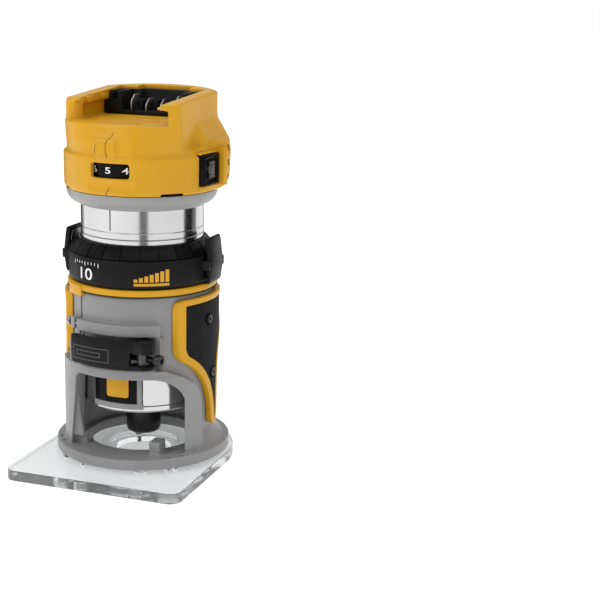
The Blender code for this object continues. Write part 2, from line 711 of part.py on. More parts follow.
def shape_housing(half, side):
    """Hollows one half out, opens its windows and leaves it on its own side of the middle."""
    cut(half, housing_cavity(36), "cavity")
    cut(half, facing_front(bay_shape(), -60 * MM, BAY_DEPTH), "battery_bay")
    recess = box((-16 * MM, 20 * MM, FOOT_FLOOR - GAP), (16 * MM, 37 * MM, 220 * MM))
    cut(half, recess, "terminal_recess")
    for i, (y, z, reach) in enumerate(HOUSING_SCREWS):
        join(half, rod((side * MM, y, z), (side * reach, y, z), 3.4 * MM, 10), f"boss_{i}")
    dial_window = sector(30 * MM, 50 * MM, 167.0 * MM, 175.0 * MM, -14.2, 15.8, 6)
    cut(half, dial_window, "dial_window")
    for i, (first, last) in enumerate(((-66, -43), (38, 56))):
        cut(half, sector(38 * MM, 50 * MM, 150 * MM, 158.9 * MM, first, last, 4), f"air_gap_{i}")
    for i in range(3):
        low = (162.5 + 8.0 * i) * MM
        for direction in (-1, 1):
            slot = sector(40 * MM, 55 * MM, low, low + 3.4 * MM, 102, 114, 4)
            cut(half, mirrored(slot, direction), f"vent_{i}_{direction + 1}")
    for i in range(4):
        slot = sector(40 * MM, 55 * MM, (162.5 + 5.6 * i) * MM, (165.3 + 5.6 * i) * MM, 160, 200, 4)
        cut(half, slot, f"rear_vent_{i}")
    cut(half, switch_box(8.6 * MM, 161.5 * MM, 178.5 * MM, 30 * MM, 60 * MM), "switch_window")
    for i, (y, z, _) in enumerate(HOUSING_SCREWS):
        cut(half, rod((-20 * MM, y, z), (12 * MM, y, z), 1.6 * MM, 8), f"screw_way_{i}")
        cut(half, rod((-60 * MM, y, z), (-14 * MM, y, z), 2.9 * MM, 10), f"screw_well_{i}")
    beyond = sorted((side * 0.12 * MM, -side * 70 * MM))
    cut(half, box((beyond[0], -80 * MM, 140 * MM), (beyond[1], 80 * MM, 240 * MM)), "other_half")


def make_housing(motor, yellow, black_steel):
    for side_name, side in SIDES:
        half = add(f"housing_{side_name}", housing_body(44), yellow, motor)
        shape_housing(half, side)
    for i, (y, z, _) in enumerate(HOUSING_SCREWS):
        name = f"housing_screw_{i + 1}"
        make_screw(name, (-16 * MM, y, z), (1, 0, 0), 26 * MM, 2.6 * MM, 1.3 * MM, black_steel, motor)


def make_terminals(motor, black, steel):
    floor = FOOT_FLOOR + GAP
    rear = BAY_DEPTH - GAP
    block = add("terminal_block", box((-29 * MM, 12 * MM, floor), (29 * MM, rear, 202.4 * MM)), black, motor)
    join(block, box((-25.8 * MM, 12 * MM, 199 * MM), (25.8 * MM, rear, 208.2 * MM)), "upper")
    join(block, box((-15.6 * MM, 20 * MM, floor), (15.6 * MM, 36.7 * MM, 208.2 * MM)), "rear")
    cut(block, box((-18 * MM, 5 * MM, 197.4 * MM), (18 * MM, 26.6 * MM, 215 * MM)), "terminal_bay")
    cut(block, box((-13 * MM, 20 * MM, 197.4 * MM), (13 * MM, 31 * MM, 215 * MM)), "bay_behind_blades")
    for i, x in enumerate((-13.5, -4.5, 4.5, 13.5)):
        high = 206.0 * MM if i in (0, 3) else 204.0 * MM
        foot = box(((x - 0.7) * MM, 14 * MM, 196.0 * MM), ((x + 0.7) * MM, 26.0 * MM, 197.9 * MM))
        cut(block, foot, f"blade_slot_{i}")
        blade = box(((x - 0.4) * MM, 14.5 * MM, 196.4 * MM), ((x + 0.4) * MM, 25.6 * MM, high))
        add(f"terminal_blade_{i + 1}", blade, steel, motor)


def make_switch(motor, black, rocker_black):
    block = switch_box(8.3 * MM, 161.8 * MM, 178.2 * MM, 38.5 * MM, 44.9 * MM)
    frame = add("switch_frame", block, black, motor)
    cut(frame, switch_box(5.6 * MM, 164.0 * MM, 176.0 * MM, 30 * MM, 50 * MM), "opening")
    place = pivot("power_rocker_pivot", around(ROCKER_RADIUS, ROCKER_ANGLE, ROCKER_HEIGHT), motor)
    half = 5.3 * MM
    outline = [(0.039, 165.8), (0.0445, 164.4), (0.0448, 167.4), (0.0437, 170), (0.0448, 172.6)]
    outline += [(0.0445, 175.6), (0.039, 174.2)]
    loops = [[(x, -radius, z * MM) for radius, z in outline] for x in (-half, half)]
    add("power_rocker", turned_to(loft(loops), ROCKER_ANGLE), rocker_black, place)


def make_dial(motor, black, steel):
    place = pivot("speed_dial_pivot", DIAL_PIVOT, motor)
    x, y, _ = DIAL_PIVOT
    low, high = 167.3 * MM, 174.7 * MM
    edge = 0.4 * MM
    rings = ((low, edge), (low + edge, 0), (high - edge, 0), (high, edge))
    loops = [[(px, py, z) for px, py in circle(DIAL_RADIUS - shrink, 48, (x, y))] for z, shrink in rings]
    dial = add("speed_dial", loft(loops), black, place)
    cut(dial, rod((x, y, 160 * MM), (x, y, 180 * MM), 2.3 * MM, 16), "axle_hole")
    add("dial_axle", rod((x, y, 164 * MM), (x, y, 179 * MM), 2.0 * MM, 16), steel, motor)


def make_electronics(motor, board_green, copper, steel, bearing_steel):
    add("circuit_board", tube(5 * MM, 35 * MM, 182.0 * MM, 183.6 * MM, 28), board_green, motor)
    outer = [point[:2] for point in (around(32.2 * MM, math.tau * i / 48) for i in range(48))]
    inner = []
    for i in range(48):
        radius = 22.6 * MM if i % 4 in (0, 1) else 28.0 * MM
        inner.append(around(radius, math.tau * i / 48)[:2])
    add("stator", ring_prism(outer, inner, 58 * MM, 112 * MM), copper, motor)
    add("lower_bearing", tube(SHAFT_RADIUS + GAP, 11.0 * MM, 37.8 * MM, 45.6 * MM, 20), bearing_steel, motor)
    add("upper_bearing", tube(SHAFT_RADIUS + GAP, 8.0 * MM, 141.0 * MM, 147.0 * MM, 20), bearing_steel, motor)
    seat = [(8.3 * MM, 140 * MM), (32.2 * MM, 140 * MM), (32.2 * MM, 143 * MM), (11 * MM, 143 * MM)]
    seat += [(11 * MM, 147 * MM), (8.3 * MM, 147 * MM)]
    plate = add("bearing_plate", turned(seat, 32), steel, motor)
    for i in range(5):
        place = around(21 * MM, math.tau * i / 5)
        way = rod((place.x, place.y, 138 * MM), (place.x, place.y, 150 * MM), 6 * MM, 10)
        cut(plate, way, f"air_way_{i}")


def make_lock(motor, black, yellow, steel):
    curve = sector(31.0 * MM, 33.2 * MM, 39.9 * MM, 55.2 * MM, -26.5, 24.5, 10)
    plate = add("lock_plate", curve, black, motor)
    half = 6.6 * MM
    button_low, button_high = 43.0 * MM, 54.6 * MM
    opening = box((-half - GAP, -40 * MM, button_low - GAP), (half + GAP, -26 * MM, button_high + GAP))
    cut(plate, opening, "button_opening")
    place = pivot("lock_button_slide", Vector((0, -CAN_RADIUS, BUTTON_HEIGHT)), motor)
    corner = 1.5 * MM
    outline = []
    for sx, sz, first in ((1, -1, -90), (1, 1, 0), (-1, 1, 90), (-1, -1, 180)):
        reach = (button_high - button_low) / 2 - corner
        centre = (sx * (half - corner), (button_low + button_high) / 2 + sz * reach)
        for i in range(4):
            angle = math.radians(first + 30 * i)
            outline.append((centre[0] + corner * math.cos(angle), centre[1] + corner * math.sin(angle)))
    button = add("lock_button", facing_front(outline, -34.2 * MM, -28.0 * MM), yellow, place)
    plunger = ((0, -29 * MM, BUTTON_HEIGHT), (0, -12.6 * MM, BUTTON_HEIGHT))
    join(button, rod(*plunger, 2.0 * MM, 14), "plunger")
    centre = Vector((0, -24.6 * MM, BUTTON_HEIGHT))
    add("lock_spring", coil(centre, (0, 1, 0), 3.2 * MM, 0.4 * MM, 5.0 * MM, 4), steel, place)


def make_lenses(motor, clear):
    for side_name, side in SIDES:
        x, y = side * 17 * MM, -18 * MM
        add(f"light_lens_{side_name}", rod((x, y, 33.9 * MM), (x, y, 37.2 * MM), 2.6 * MM, 16), clear, motor)


def make_motor(slide, look):
    motor = pivot("motor_slide", Vector((0, 0, 0)), slide)
    make_can(motor, look["polished"])
    make_bezel(motor, look["casting"])
    make_housing(motor, look["yellow"], look["black_steel"])
    make_terminals(motor, look["black"], look["steel"])
    make_switch(motor, look["black"], look["soft_black"])
    make_dial(motor, look["black"], look["steel"])
    make_electronics(motor, look["board"], look["copper"], look["steel"], look["steel"])
    make_lock(motor, look["black"], look["yellow"], look["steel"])
    make_lenses(motor, look["lens"])
    return motor


# ---------------------------------------------------------------- spindle


def make_spindle(motor, look):
    spindle = pivot("spindle_pivot", Vector((0, 0, 0)), motor)
    shaft = [
        (0.0, 29.0 * MM),
        (7.0 * MM, 29.0 * MM),
        (7.0 * MM, 36.6 * MM),
        (SHAFT_RADIUS, 36.6 * MM),
        (SHAFT_RADIUS, 46.4 * MM),
        (9.2 * MM, 46.4 * MM),
        (9.2 * MM, 52.0 * MM),
        (SHAFT_RADIUS, 52.0 * MM),
        (SHAFT_RADIUS, 150.0 * MM),
        (0.0, 150.0 * MM),
    ]
    add("spindle_shaft", turned(shaft, 20), look["steel"], spindle)
    add("rotor", tube(SHAFT_RADIUS + GAP, 22.0 * MM, 60 * MM, 110 * MM, 32), look["copper"], spindle)
    disc = tube(SHAFT_RADIUS + GAP, 30.0 * MM, 126 * MM, 127.6 * MM, 28)
    fan = add("cooling_fan", disc, look["black"], spindle)
    join(fan, tube(SHAFT_RADIUS + GAP, 8.0 * MM, 118 * MM, 127 * MM, 16), "hub")
    for i in range(7):
        blade = box((-0.6 * MM, -28.5 * MM, 118 * MM), (0.6 * MM, -7 * MM, 127 * MM))
        join(fan, turned_to(blade, math.tau * i / 7), f"blade_{i}")
    collet = [(3.2 * MM, 17.2 * MM), (5.2 * MM, 17.2 * MM), (6.6 * MM, 22 * MM)]
    collet += [(6.6 * MM, 28.4 * MM), (3.2 * MM, 28.4 * MM)]
    add("collet", turned(collet, 24), look["steel"], spindle)
    nut_place = pivot("collet_nut_pivot", Vector((0, 0, 0)), spindle)
    nut = [
        (5.6 * MM, NUT_BOTTOM),
        (NUT_RADIUS - 2.0 * MM, NUT_BOTTOM),
        (NUT_RADIUS - 0.6 * MM, NUT_BOTTOM + 0.9 * MM),
        (NUT_RADIUS, NUT_BOTTOM + 2.4 * MM),
        (NUT_RADIUS, NUT_TOP - 0.5 * MM),
        (NUT_RADIUS - 0.5 * MM, NUT_TOP),
        (7.4 * MM, NUT_TOP),
        (7.4 * MM, NUT_BOTTOM + 5.0 * MM),
    ]
    add("collet_nut", turned(nut, 32), look["black_steel"], nut_place)


def build():
    clear_scene()
    look = {
        "casting": finish("grey_casting", (0.36, 0.36, 0.35), 0.45, 0.35),
        "clear": finish("clear_plastic", (0.92, 0.95, 0.96), 0.08, 0.0, 0.45),
        "yellow": finish("yellow_plastic", (0.74, 0.40, 0.03), 0.42),
        "rubber": finish("black_rubber", (0.018, 0.018, 0.018), 0.75),
        "black": finish("black_plastic", (0.014, 0.014, 0.015), 0.45),
        "soft_black": finish("rocker_plastic", (0.03, 0.03, 0.032), 0.5),
        "polished": finish("polished_aluminium", (0.85, 0.86, 0.87), 0.16, 1.0),
        "steel": finish("bright_steel", (0.62, 0.62, 0.63), 0.28, 1.0),
        "black_steel": finish("blackened_steel", (0.03, 0.03, 0.03), 0.4, 0.7),
        "board": finish("board_green", (0.02, 0.14, 0.06), 0.5),
        "copper": finish("copper_windings", (0.55, 0.25, 0.1), 0.4, 0.8),
        "lens": finish("light_lens", (0.9, 0.92, 0.95), 0.1),
    }
    root = pivot("spindle_axis", Vector((0, AXIS_Y, 0)))
    make_base(root, look)
    make_lever(root, look["black"])
    slide = make_release_collar(root, look["black"])
    make_depth_ring(slide, look["black"])
    make_tabs(slide, look["black"], look["steel"])
    motor = make_motor(slide, look)
    make_spindle(motor, look)


build()
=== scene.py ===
import math

import bmesh
import bpy
from mathutils import Matrix, Vector


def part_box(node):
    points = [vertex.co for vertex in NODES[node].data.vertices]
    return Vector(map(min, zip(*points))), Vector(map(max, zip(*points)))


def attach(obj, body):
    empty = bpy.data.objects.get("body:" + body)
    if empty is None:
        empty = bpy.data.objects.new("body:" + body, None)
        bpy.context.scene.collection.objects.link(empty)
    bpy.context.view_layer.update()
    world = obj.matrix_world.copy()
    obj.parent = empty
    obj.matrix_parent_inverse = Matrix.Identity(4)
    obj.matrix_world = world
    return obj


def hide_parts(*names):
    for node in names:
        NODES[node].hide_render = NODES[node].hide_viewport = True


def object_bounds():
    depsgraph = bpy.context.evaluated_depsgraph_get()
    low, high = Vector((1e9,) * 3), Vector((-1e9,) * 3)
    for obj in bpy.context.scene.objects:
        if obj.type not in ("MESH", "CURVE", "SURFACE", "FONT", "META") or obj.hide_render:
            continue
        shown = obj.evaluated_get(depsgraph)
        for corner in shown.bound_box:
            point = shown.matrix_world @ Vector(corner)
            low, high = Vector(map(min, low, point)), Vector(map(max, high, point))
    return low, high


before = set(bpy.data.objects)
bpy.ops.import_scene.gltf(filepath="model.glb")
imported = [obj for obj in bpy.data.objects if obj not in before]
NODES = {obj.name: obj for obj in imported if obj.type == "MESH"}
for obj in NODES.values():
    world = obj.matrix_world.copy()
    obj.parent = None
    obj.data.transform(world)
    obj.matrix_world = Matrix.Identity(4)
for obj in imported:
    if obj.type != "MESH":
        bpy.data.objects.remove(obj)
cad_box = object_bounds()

MM = 0.001
CAN_LOW, CAN_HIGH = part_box("motor_can")
AXIS = Vector((0.0, (CAN_LOW.y + CAN_HIGH.y) / 2, 0.0))
SIDES = (("left", -1), ("right", 1))

# Driving sizes and places, in mm and degrees round the spindle
PLATE_REACH = 52.1
PLATE_THICKNESS = 6.0
PLATE_CORNER = 7.0
CAN_RADIUS = 34.5
SKIRT_RADIUS = 41.5
RIM_RADIUS = 43.9
PAD_RADIUS = 43.5
DIAL_RADIUS = 18.0
DIAL_X, DIAL_Y, DIAL_Z = 0.7, -24.1, 171.0
NUMERAL_STEP = 31.0
LEVER_X, LEVER_Y = 20.0, -43.0
SLIT_ANGLE = -32.0
ROCKER_ANGLE = 81.5
BATTERY_FLOOR = 195.2
FOOT_SLOPE = 0.056


# ---- shapes, drawn in mm round the spindle


def around(radius, degrees, height=0.0):
    """A point at that radius, turned from the front towards the right."""
    angle = math.radians(degrees)
    return Vector((radius * math.sin(angle), -radius * math.cos(angle), height))


def mesh_of(points, faces):
    """A mesh with its doubled points merged and its faces turned outwards."""
    mesh = bpy.data.meshes.new("shape")
    mesh.from_pydata([tuple(p) for p in points], [], faces)
    mesh.validate()
    work = bmesh.new()
    work.from_mesh(mesh)
    bmesh.ops.remove_doubles(work, verts=work.verts, dist=1e-5)
    bmesh.ops.recalc_face_normals(work, faces=work.faces)
    if work.calc_volume(signed=True) < 0:
        bmesh.ops.reverse_faces(work, faces=work.faces)
    work.to_mesh(mesh)
    work.free()
    return mesh


def loft(loops, ends=True):
    """A skin over the loops: closed by end faces, or else from the last loop back to the first."""
    count = len(loops[0])
    points = [point for loop in loops for point in loop]
    faces = []
    for level in range(len(loops) - ends):
        low = level * count
        high = (low + count) % len(points)
        for i in range(count):
            j = (i + 1) % count
            faces.append((low + i, low + j, high + j, high + i))
    if ends:
        faces.append(tuple(range(count))[::-1])
        faces.append(tuple(range(len(points) - count, len(points))))
    return mesh_of(points, faces)


def prism(outline, bottom, top):
    return loft([[(x, y, z) for x, y in outline] for z in (bottom, top)])


def turned(profile, steps=128, start=0.0, sweep=360.0):
    """A closed (radius, height) profile turned round the spindle."""
    ends = sweep < 360.0
    loops = []
    for i in range(steps + ends):
        degrees = start + sweep * i / steps
        loops.append([around(radius, degrees, height) for radius, height in profile])
    return loft(loops, ends)


def tube(inner, outer, bottom, top, steps=128):
    return turned([(inner, bottom), (outer, bottom), (outer, top), (inner, top)], steps)


def sector(inner, outer, bottom, top, first, last, steps=24):
    profile = [(inner, bottom), (outer, bottom), (outer, top), (inner, top)]
    return turned(profile, steps, first, last - first)


def box(low, high):
    outline = [(low[0], low[1]), (high[0], low[1]), (high[0], high[1]), (low[0], high[1])]
    return prism(outline, low[2], high[2])


def rod(start, end, radius, sides=32):
    start = Vector(start)
    end = Vector(end)
    turn = (end - start).to_track_quat("Z", "Y").to_matrix()
    loops = []
    for place in (start, end):
        loop = []
        for i in range(sides):
            angle = math.tau * i / sides
            loop.append(place + turn @ Vector((radius * math.cos(angle), radius * math.sin(angle), 0)))
        loops.append(loop)
    return loft(loops)


def turned_to(mesh, degrees):
    mesh.transform(Matrix.Rotation(math.radians(degrees), 4, "Z"))
    return mesh


def mirrored(mesh, side):
    if side < 0:
        mesh.transform(Matrix.Scale(-1, 4, (1, 0, 0)))
        mesh.flip_normals()
    return mesh


def facing_front(outline, near, far):
    """Extrudes an (x, z) outline along Y."""
    return loft([[(x, y, z) for x, z in outline] for y in (near, far)])


def spline(points, steps):
    """A Catmull-Rom curve from the second point up to, but not including, the last but one."""
    found = []
    for before, here, there, after in zip(points, points[1:], points[2:], points[3:]):
        for step in range(steps):
            t = step / steps
            place = []
            for p, q, r, s in zip(before, here, there, after):
                bend = (2 * p - 5 * q + 4 * r - s) * t**2
                place.append(0.5 * (2 * q + (r - p) * t + bend + (3 * q - p - 3 * r + s) * t**3))
            found.append(tuple(place))
    return found


def closed_curve(points, steps):
    return spline([points[-1], *points, *points[:2]], steps)


def open_curve(points, steps):
    return spline([points[0], *points, points[-1]], steps) + [points[-1]]


# ---- materials


class Look:
    """A node material, built up step by step around one Principled shader."""

    def __init__(self, name, roughness, metallic=0.0):
        self.material = bpy.data.materials.new(name)
        self.material.use_nodes = True
        self.tree = self.material.node_tree
        self.shader = self.tree.nodes["Principled BSDF"]
        self.shader.inputs["Metallic"].default_value = metallic
        self.shader.inputs["Roughness"].default_value = roughness
        self.place = self.node("ShaderNodeTexCoord").outputs["Object"]

    def node(self, kind, **settings):
        node = self.tree.nodes.new(kind)
        for key, value in settings.items():
            setattr(node, key, value)
        return node

    def link(self, output, socket):
        self.tree.links.new(output, socket)

    def scaled(self, scale):
        """Object coordinates stretched by a factor on each axis."""
        mapping = self.node("ShaderNodeMapping")
        mapping.inputs["Scale"].default_value = scale
        self.link(self.place, mapping.inputs["Vector"])
        return mapping.outputs["Vector"]

    def noise(self, scale, detail=3.0, stretch=(1, 1, 1)):
        noise = self.node("ShaderNodeTexNoise")
        noise.inputs["Scale"].default_value = scale
        noise.inputs["Detail"].default_value = detail
        self.link(self.scaled(stretch), noise.inputs["Vector"])
        return noise.outputs["Fac"]

    def dots(self, size, radius):
        """A raised dot in every cell of a regular grid."""
        cells = self.node("ShaderNodeTexVoronoi")
        cells.inputs["Scale"].default_value = 1.0 / size
        cells.inputs["Randomness"].default_value = 0.0
        self.link(self.place, cells.inputs["Vector"])
        return self.remap(cells.outputs["Distance"], radius * 0.6, radius, 1.0, 0.0)

    def product(self, first, second):
        both = self.node("ShaderNodeMath", operation="MULTIPLY")
        self.link(first, both.inputs[0])
        self.link(second, both.inputs[1])
        return both.outputs["Value"]

    def remap(self, value, low, high, new_low, new_high):
        remap = self.node("ShaderNodeMapRange", clamp=True)
        limits = {"From Min": low, "From Max": high, "To Min": new_low, "To Max": new_high}
        for socket, number in limits.items():
            remap.inputs[socket].default_value = number
        self.link(value, remap.inputs["Value"])
        return remap.outputs["Result"]

    def colours(self, value, low, high, first, second):
        """The base colour, running from the first to the second as the value goes from low to high."""
        ramp = self.node("ShaderNodeValToRGB")
        ramp.color_ramp.elements[0].color = (*first, 1)
        ramp.color_ramp.elements[1].color = (*second, 1)
        self.link(self.remap(value, low, high, 0.0, 1.0), ramp.inputs["Fac"])
        self.link(ramp.outputs["Color"], self.shader.inputs["Base Color"])

    def roughness(self, value, low, high, first, second):
        self.link(self.remap(value, low, high, first, second), self.shader.inputs["Roughness"])

    def bump(self, value, depth, under=None):
        """Relief of that depth in metres, on top of any relief below it."""
        bump = self.node("ShaderNodeBump")
        bump.inputs["Strength"].default_value = 1.0
        bump.inputs["Distance"].default_value = depth
        self.link(value, bump.inputs["Height"])
        if under:
            self.link(under, bump.inputs["Normal"])
        self.link(bump.outputs["Normal"], self.shader.inputs["Normal"])
        return bump.outputs["Normal"]


def shade(colour, factor):
    return tuple(channel * factor for channel in colour)


def moulded_plastic(name, colour, roughness, grain=0.00003, glint=0.5):
    """Injection-moulded plastic: faint clouds in its colour and a fine spark-eroded grain."""
    look = Look(name, roughness)
    look.shader.inputs["Specular IOR Level"].default_value = glint
    clouds = look.noise(28.0, 4.0)
    look.colours(clouds, 0.3, 0.7, shade(colour, 0.93), shade(colour, 1.05))
    scuffs = look.noise(140.0, 5.0, (1, 1, 0.4))
    look.roughness(scuffs, 0.35, 0.7, roughness - 0.05, roughness + 0.09)
    fine = look.noise(2600.0, 2.0)
    under = look.bump(fine, grain)
    look.bump(look.noise(60.0, 2.0), 0.00004, under)
    return look.material


def painted_casting(name, colour):
    """Powder-coated die casting: a soft orange peel over a faintly pitted surface."""
    look = Look(name, 0.4)
    look.colours(look.noise(22.0, 5.0), 0.3, 0.7, shade(colour, 0.92), shade(colour, 1.06))
    look.roughness(look.noise(320.0, 4.0), 0.35, 0.65, 0.34, 0.5)
    under = look.bump(look.noise(900.0, 3.0), 0.00006)
    look.bump(look.noise(2800.0, 2.0), 0.00003, under)
    return look.material


def dotted_rubber(name, colour):
    """Grip rubber: matt, with rows of small raised dots where the fingers hold it."""
    look = Look(name, 0.62)
    look.shader.inputs["Specular IOR Level"].default_value = 0.12
    height = look.node("ShaderNodeSeparateXYZ")
    look.link(look.place, height.inputs["Vector"])
    above = look.remap(height.outputs["Z"], 0.060, 0.066, 0.0, 1.0)
    below = look.remap(height.outputs["Z"], 0.080, 0.088, 1.0, 0.0)
    dots = look.product(look.product(above, below), look.dots(0.0021, 0.42))
    look.colours(look.noise(90.0, 4.0), 0.3, 0.7, shade(colour, 0.8), shade(colour, 1.25))
    look.roughness(dots, 0.0, 1.0, 0.68, 0.5)
    under = look.bump(look.noise(2200.0, 2.0), 0.00003)
    look.bump(dots, 0.00035, under)
    return look.material


def turned_metal(name, colour, roughness, ring_depth, blotch=0.05):
    """Metal off a lathe: fine rings along the spindle and slight stains in its polish."""
    look = Look(name, roughness, 1.0)
    look.colours(look.noise(30.0, 4.0), 0.3, 0.7, shade(colour, 0.94), shade(colour, 1.03))
    look.roughness(look.noise(60.0, 5.0, (1, 1, 6)), 0.3, 0.7, roughness, roughness + blotch)
    look.bump(look.noise(900.0, 2.0, (0.02, 0.02, 1.0)), ring_depth)
    return look.material


def milled_metal(name, colour, roughness):
    look = Look(name, roughness, 1.0)
    look.colours(look.noise(120.0, 4.0), 0.3, 0.7, shade(colour, 0.85), shade(colour, 1.08))
    look.roughness(look.noise(400.0, 4.0), 0.3, 0.7, roughness - 0.06, roughness + 0.12)
    look.bump(look.noise(1800.0, 3.0, (1, 0.2, 1)), 0.00002)
    return look.material


def clear_sheet(name):
    """Clear acrylic with polished faces and faint handling marks; lamps shine through it."""
    look = Look(name, 0.03)
    look.shader.inputs["Base Color"].default_value = (0.82, 0.83, 0.835, 1)
    look.shader.inputs["Transmission Weight"].default_value = 0.93
    look.shader.inputs["IOR"].default_value = 1.3
    look.roughness(look.noise(80.0, 5.0), 0.4, 0.7, 0.02, 0.09)
    look.bump(look.noise(400.0, 2.0), 0.00001)
    ray = look.node("ShaderNodeLightPath")
    lighting = look.node("ShaderNodeMath", operation="MAXIMUM")
    look.link(ray.outputs["Is Shadow Ray"], lighting.inputs[0])
    look.link(ray.outputs["Is Diffuse Ray"], lighting.inputs[1])
    through = look.node("ShaderNodeBsdfTransparent")
    through.inputs["Color"].default_value = (0.93, 0.94, 0.94, 1)
    mix = look.node("ShaderNodeMixShader")
    look.link(lighting.outputs["Value"], mix.inputs["Fac"])
    look.link(look.shader.outputs["BSDF"], mix.inputs[1])
    look.link(through.outputs["BSDF"], mix.inputs[2])
    look.link(mix.outputs["Shader"], look.tree.nodes["Material Output"].inputs["Surface"])
    return look.material


def winding(name):
    """Enamelled copper wire, wound in rows, with painted shade in the grooves between turns and painted light
    on their crowns.
    """
    look = Look(name, 0.35, 0.9)
    strands = look.node("ShaderNodeTexWave", wave_type="BANDS", bands_direction="Z")
    strands.inputs["Scale"].default_value = 260.0
    look.link(look.scaled((1, 1, 1)), strands.inputs["Vector"])
    look.colours(strands.outputs["Fac"], 0.0, 1.0, (0.22, 0.07, 0.03), (0.62, 0.25, 0.1))
    look.bump(strands.outputs["Fac"], 0.0002)
    return look.material


def floor_paper(name):
    look = Look(name, 0.7)
    look.colours(look.noise(3.0, 2.0), 0.3, 0.7, (0.91, 0.91, 0.91), (0.93, 0.93, 0.93))
    look.shader.inputs["Emission Color"].default_value = (1, 1, 1, 1)
    look.shader.inputs["Emission Strength"].default_value = 0.45
    look.bump(look.noise(500.0, 3.0), 0.00001)
    return look.material


YELLOW = (0.66, 0.335, 0.007)
CASTING = (0.265, 0.262, 0.262)

yellow = moulded_plastic("yellow_moulding", YELLOW, 0.36, glint=0.3)
grey_plastic = moulded_plastic("grey_moulding", (0.30, 0.30, 0.295), 0.4)
black = moulded_plastic("black_moulding", (0.0095, 0.0095, 0.01), 0.38, glint=0.12)
gloss_black = moulded_plastic("glossy_black_moulding", (0.004, 0.004, 0.0045), 0.26, 0.00001, glint=0.09)
# A lighter grey for the lever's engraved lines, and painted light on the rocker's lit face.
engraving_grey_and_painted_light = moulded_plastic("engraving_and_rocker_painted_light", (0.1, 0.095, 0.09), 0.26, 0.00001, glint=0.3)
casting = painted_casting("grey_powder_coat", CASTING)
rubber = dotted_rubber("dotted_grip_rubber", (0.0105, 0.0105, 0.011))
polished = turned_metal("polished_can", (0.58, 0.58, 0.585), 0.13, 0.000012)
brushed = turned_metal("turned_steel", (0.52, 0.52, 0.53), 0.28, 0.00003)
milled = milled_metal("milled_steel", (0.48, 0.48, 0.49), 0.32)
blade_metal = milled_metal("tinned_blades", (0.32, 0.315, 0.3), 0.4)
black_steel = milled_metal("black_oxide_steel", (0.05, 0.05, 0.051), 0.38)
dull_steel = milled_metal("dull_steel", (0.085, 0.085, 0.087), 0.4)
clear = clear_sheet("clear_acrylic")
copper = winding("copper_windings")
board = moulded_plastic("coated_board", (0.02, 0.13, 0.05), 0.3)
white_ink = moulded_plastic("white_print", (0.8, 0.8, 0.8), 0.45)
yellow_ink = moulded_plastic("yellow_print", YELLOW, 0.45)
# Near-black for the seams and the can's index line, and painted shade in the collar joint, behind the vents
# and round the dial.
dark_marks_and_painted_shade = moulded_plastic("dark_marks_and_painted_shade", (0.006, 0.006, 0.006), 0.7)


# ---- pieces


def linked(name, data):
    """A new object in the scene."""
    item = bpy.data.objects.new(name, data)
    bpy.context.scene.collection.objects.link(item)
    return item


def evaluated_mesh(item):
    """What an object's modifiers or curve settings make of it, as a new mesh."""
    graph = bpy.context.evaluated_depsgraph_get()
    graph.update()
    return bpy.data.meshes.new_from_object(item.evaluated_get(graph))


def mesh_from_curve(curve):
    holder = linked(curve.name, curve)
    mesh = evaluated_mesh(holder)
    bpy.data.objects.remove(holder)
    return mesh


def worked(mesh, tool, operation):
    """The mesh after one Boolean with another."""
    first = linked("worked", mesh)
    second = linked("tool", tool)
    step = first.modifiers.new("step", "BOOLEAN")
    step.operation = operation
    step.object = second
    step.solver = "EXACT"
    result = evaluated_mesh(first)
    bpy.data.objects.remove(first)
    bpy.data.objects.remove(second)
    return result


def cut(mesh, tool):
    return worked(mesh, tool, "DIFFERENCE")


def join(mesh, tool):
    return worked(mesh, tool, "UNION")


def together(meshes):
    """Several shapes in one mesh, side by side."""
    work = bmesh.new()
    for mesh in meshes:
        work.from_mesh(mesh)
    result = bpy.data.meshes.new("together")
    work.to_mesh(result)
    work.free()
    return result


def round_edges(item, width, angle):
    rounding = item.modifiers.new("rounding", "BEVEL")
    rounding.width = width * MM
    rounding.segments = 2
    rounding.limit_method = "ANGLE"
    rounding.angle_limit = math.radians(angle)


def piece(name, mesh, look, body, stands_for=(), bevel=0.0, cast=0.0, fillet=4, angle=32, wall=0.0):
    """One visible piece: mm round the spindle to metres in the frame, edges rounded, smooth shaded."""
    mesh.transform(Matrix.Translation(AXIS) @ Matrix.Scale(MM, 4))
    item = linked(name, mesh)
    if wall:
        shell = item.modifiers.new("wall", "SOLIDIFY")
        shell.thickness = wall * MM
        shell.offset = -1
    if cast:
        remesh = item.modifiers.new("skin", "REMESH")
        remesh.mode = "VOXEL"
        remesh.voxel_size = cast * MM
        remesh.use_smooth_shade = True
        soften = item.modifiers.new("fillets", "SMOOTH")
        soften.factor = 0.5
        soften.iterations = fillet
    if bevel:
        round_edges(item, bevel, angle)
    if item.modifiers:
        mesh = evaluated_mesh(item)
        item.modifiers.clear()
        item.data = mesh
    mesh.materials.clear()
    mesh.materials.append(look)
    mesh.shade_smooth()
    if not cast:
        mesh.set_sharp_from_angle(angle=math.radians(angle))
    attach(item, body)
    if stands_for:
        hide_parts(*stands_for)
    return item


# ---- base


def quarter_turn(centre, radius, first):
    """A quarter circle in the plane, from the angle given in quarters of a turn."""
    arc = []
    for i in range(13):
        angle = math.pi / 2 * (first + i / 12)
        arc.append((centre[0] + radius * math.cos(angle), centre[1] + radius * math.sin(angle)))
    return arc


def plate_outline():
    """Half round behind, square in front with rounded corners."""
    outline = [tuple(around(PLATE_REACH, 90 + 180 * i / 72)[:2]) for i in range(73)]
    for side, first in ((-1, 2), (1, 3)):
        centre = (side * (PLATE_REACH - PLATE_CORNER), -71.0 + PLATE_CORNER)
        outline += quarter_turn(centre, PLATE_CORNER, first)
    return outline


PLATE_SCREWS = [around(41.0, angle) for angle in (-66, 66, 150, 210)]
PLATE_HOLES = [around(46.8, angle) for angle in (-37.5, -17.5, 23, 43)]
BOLT_START = Vector((31.6, -44.2, 70.0))
BOLT_END = Vector((-25.0, -39.1, 70.0))


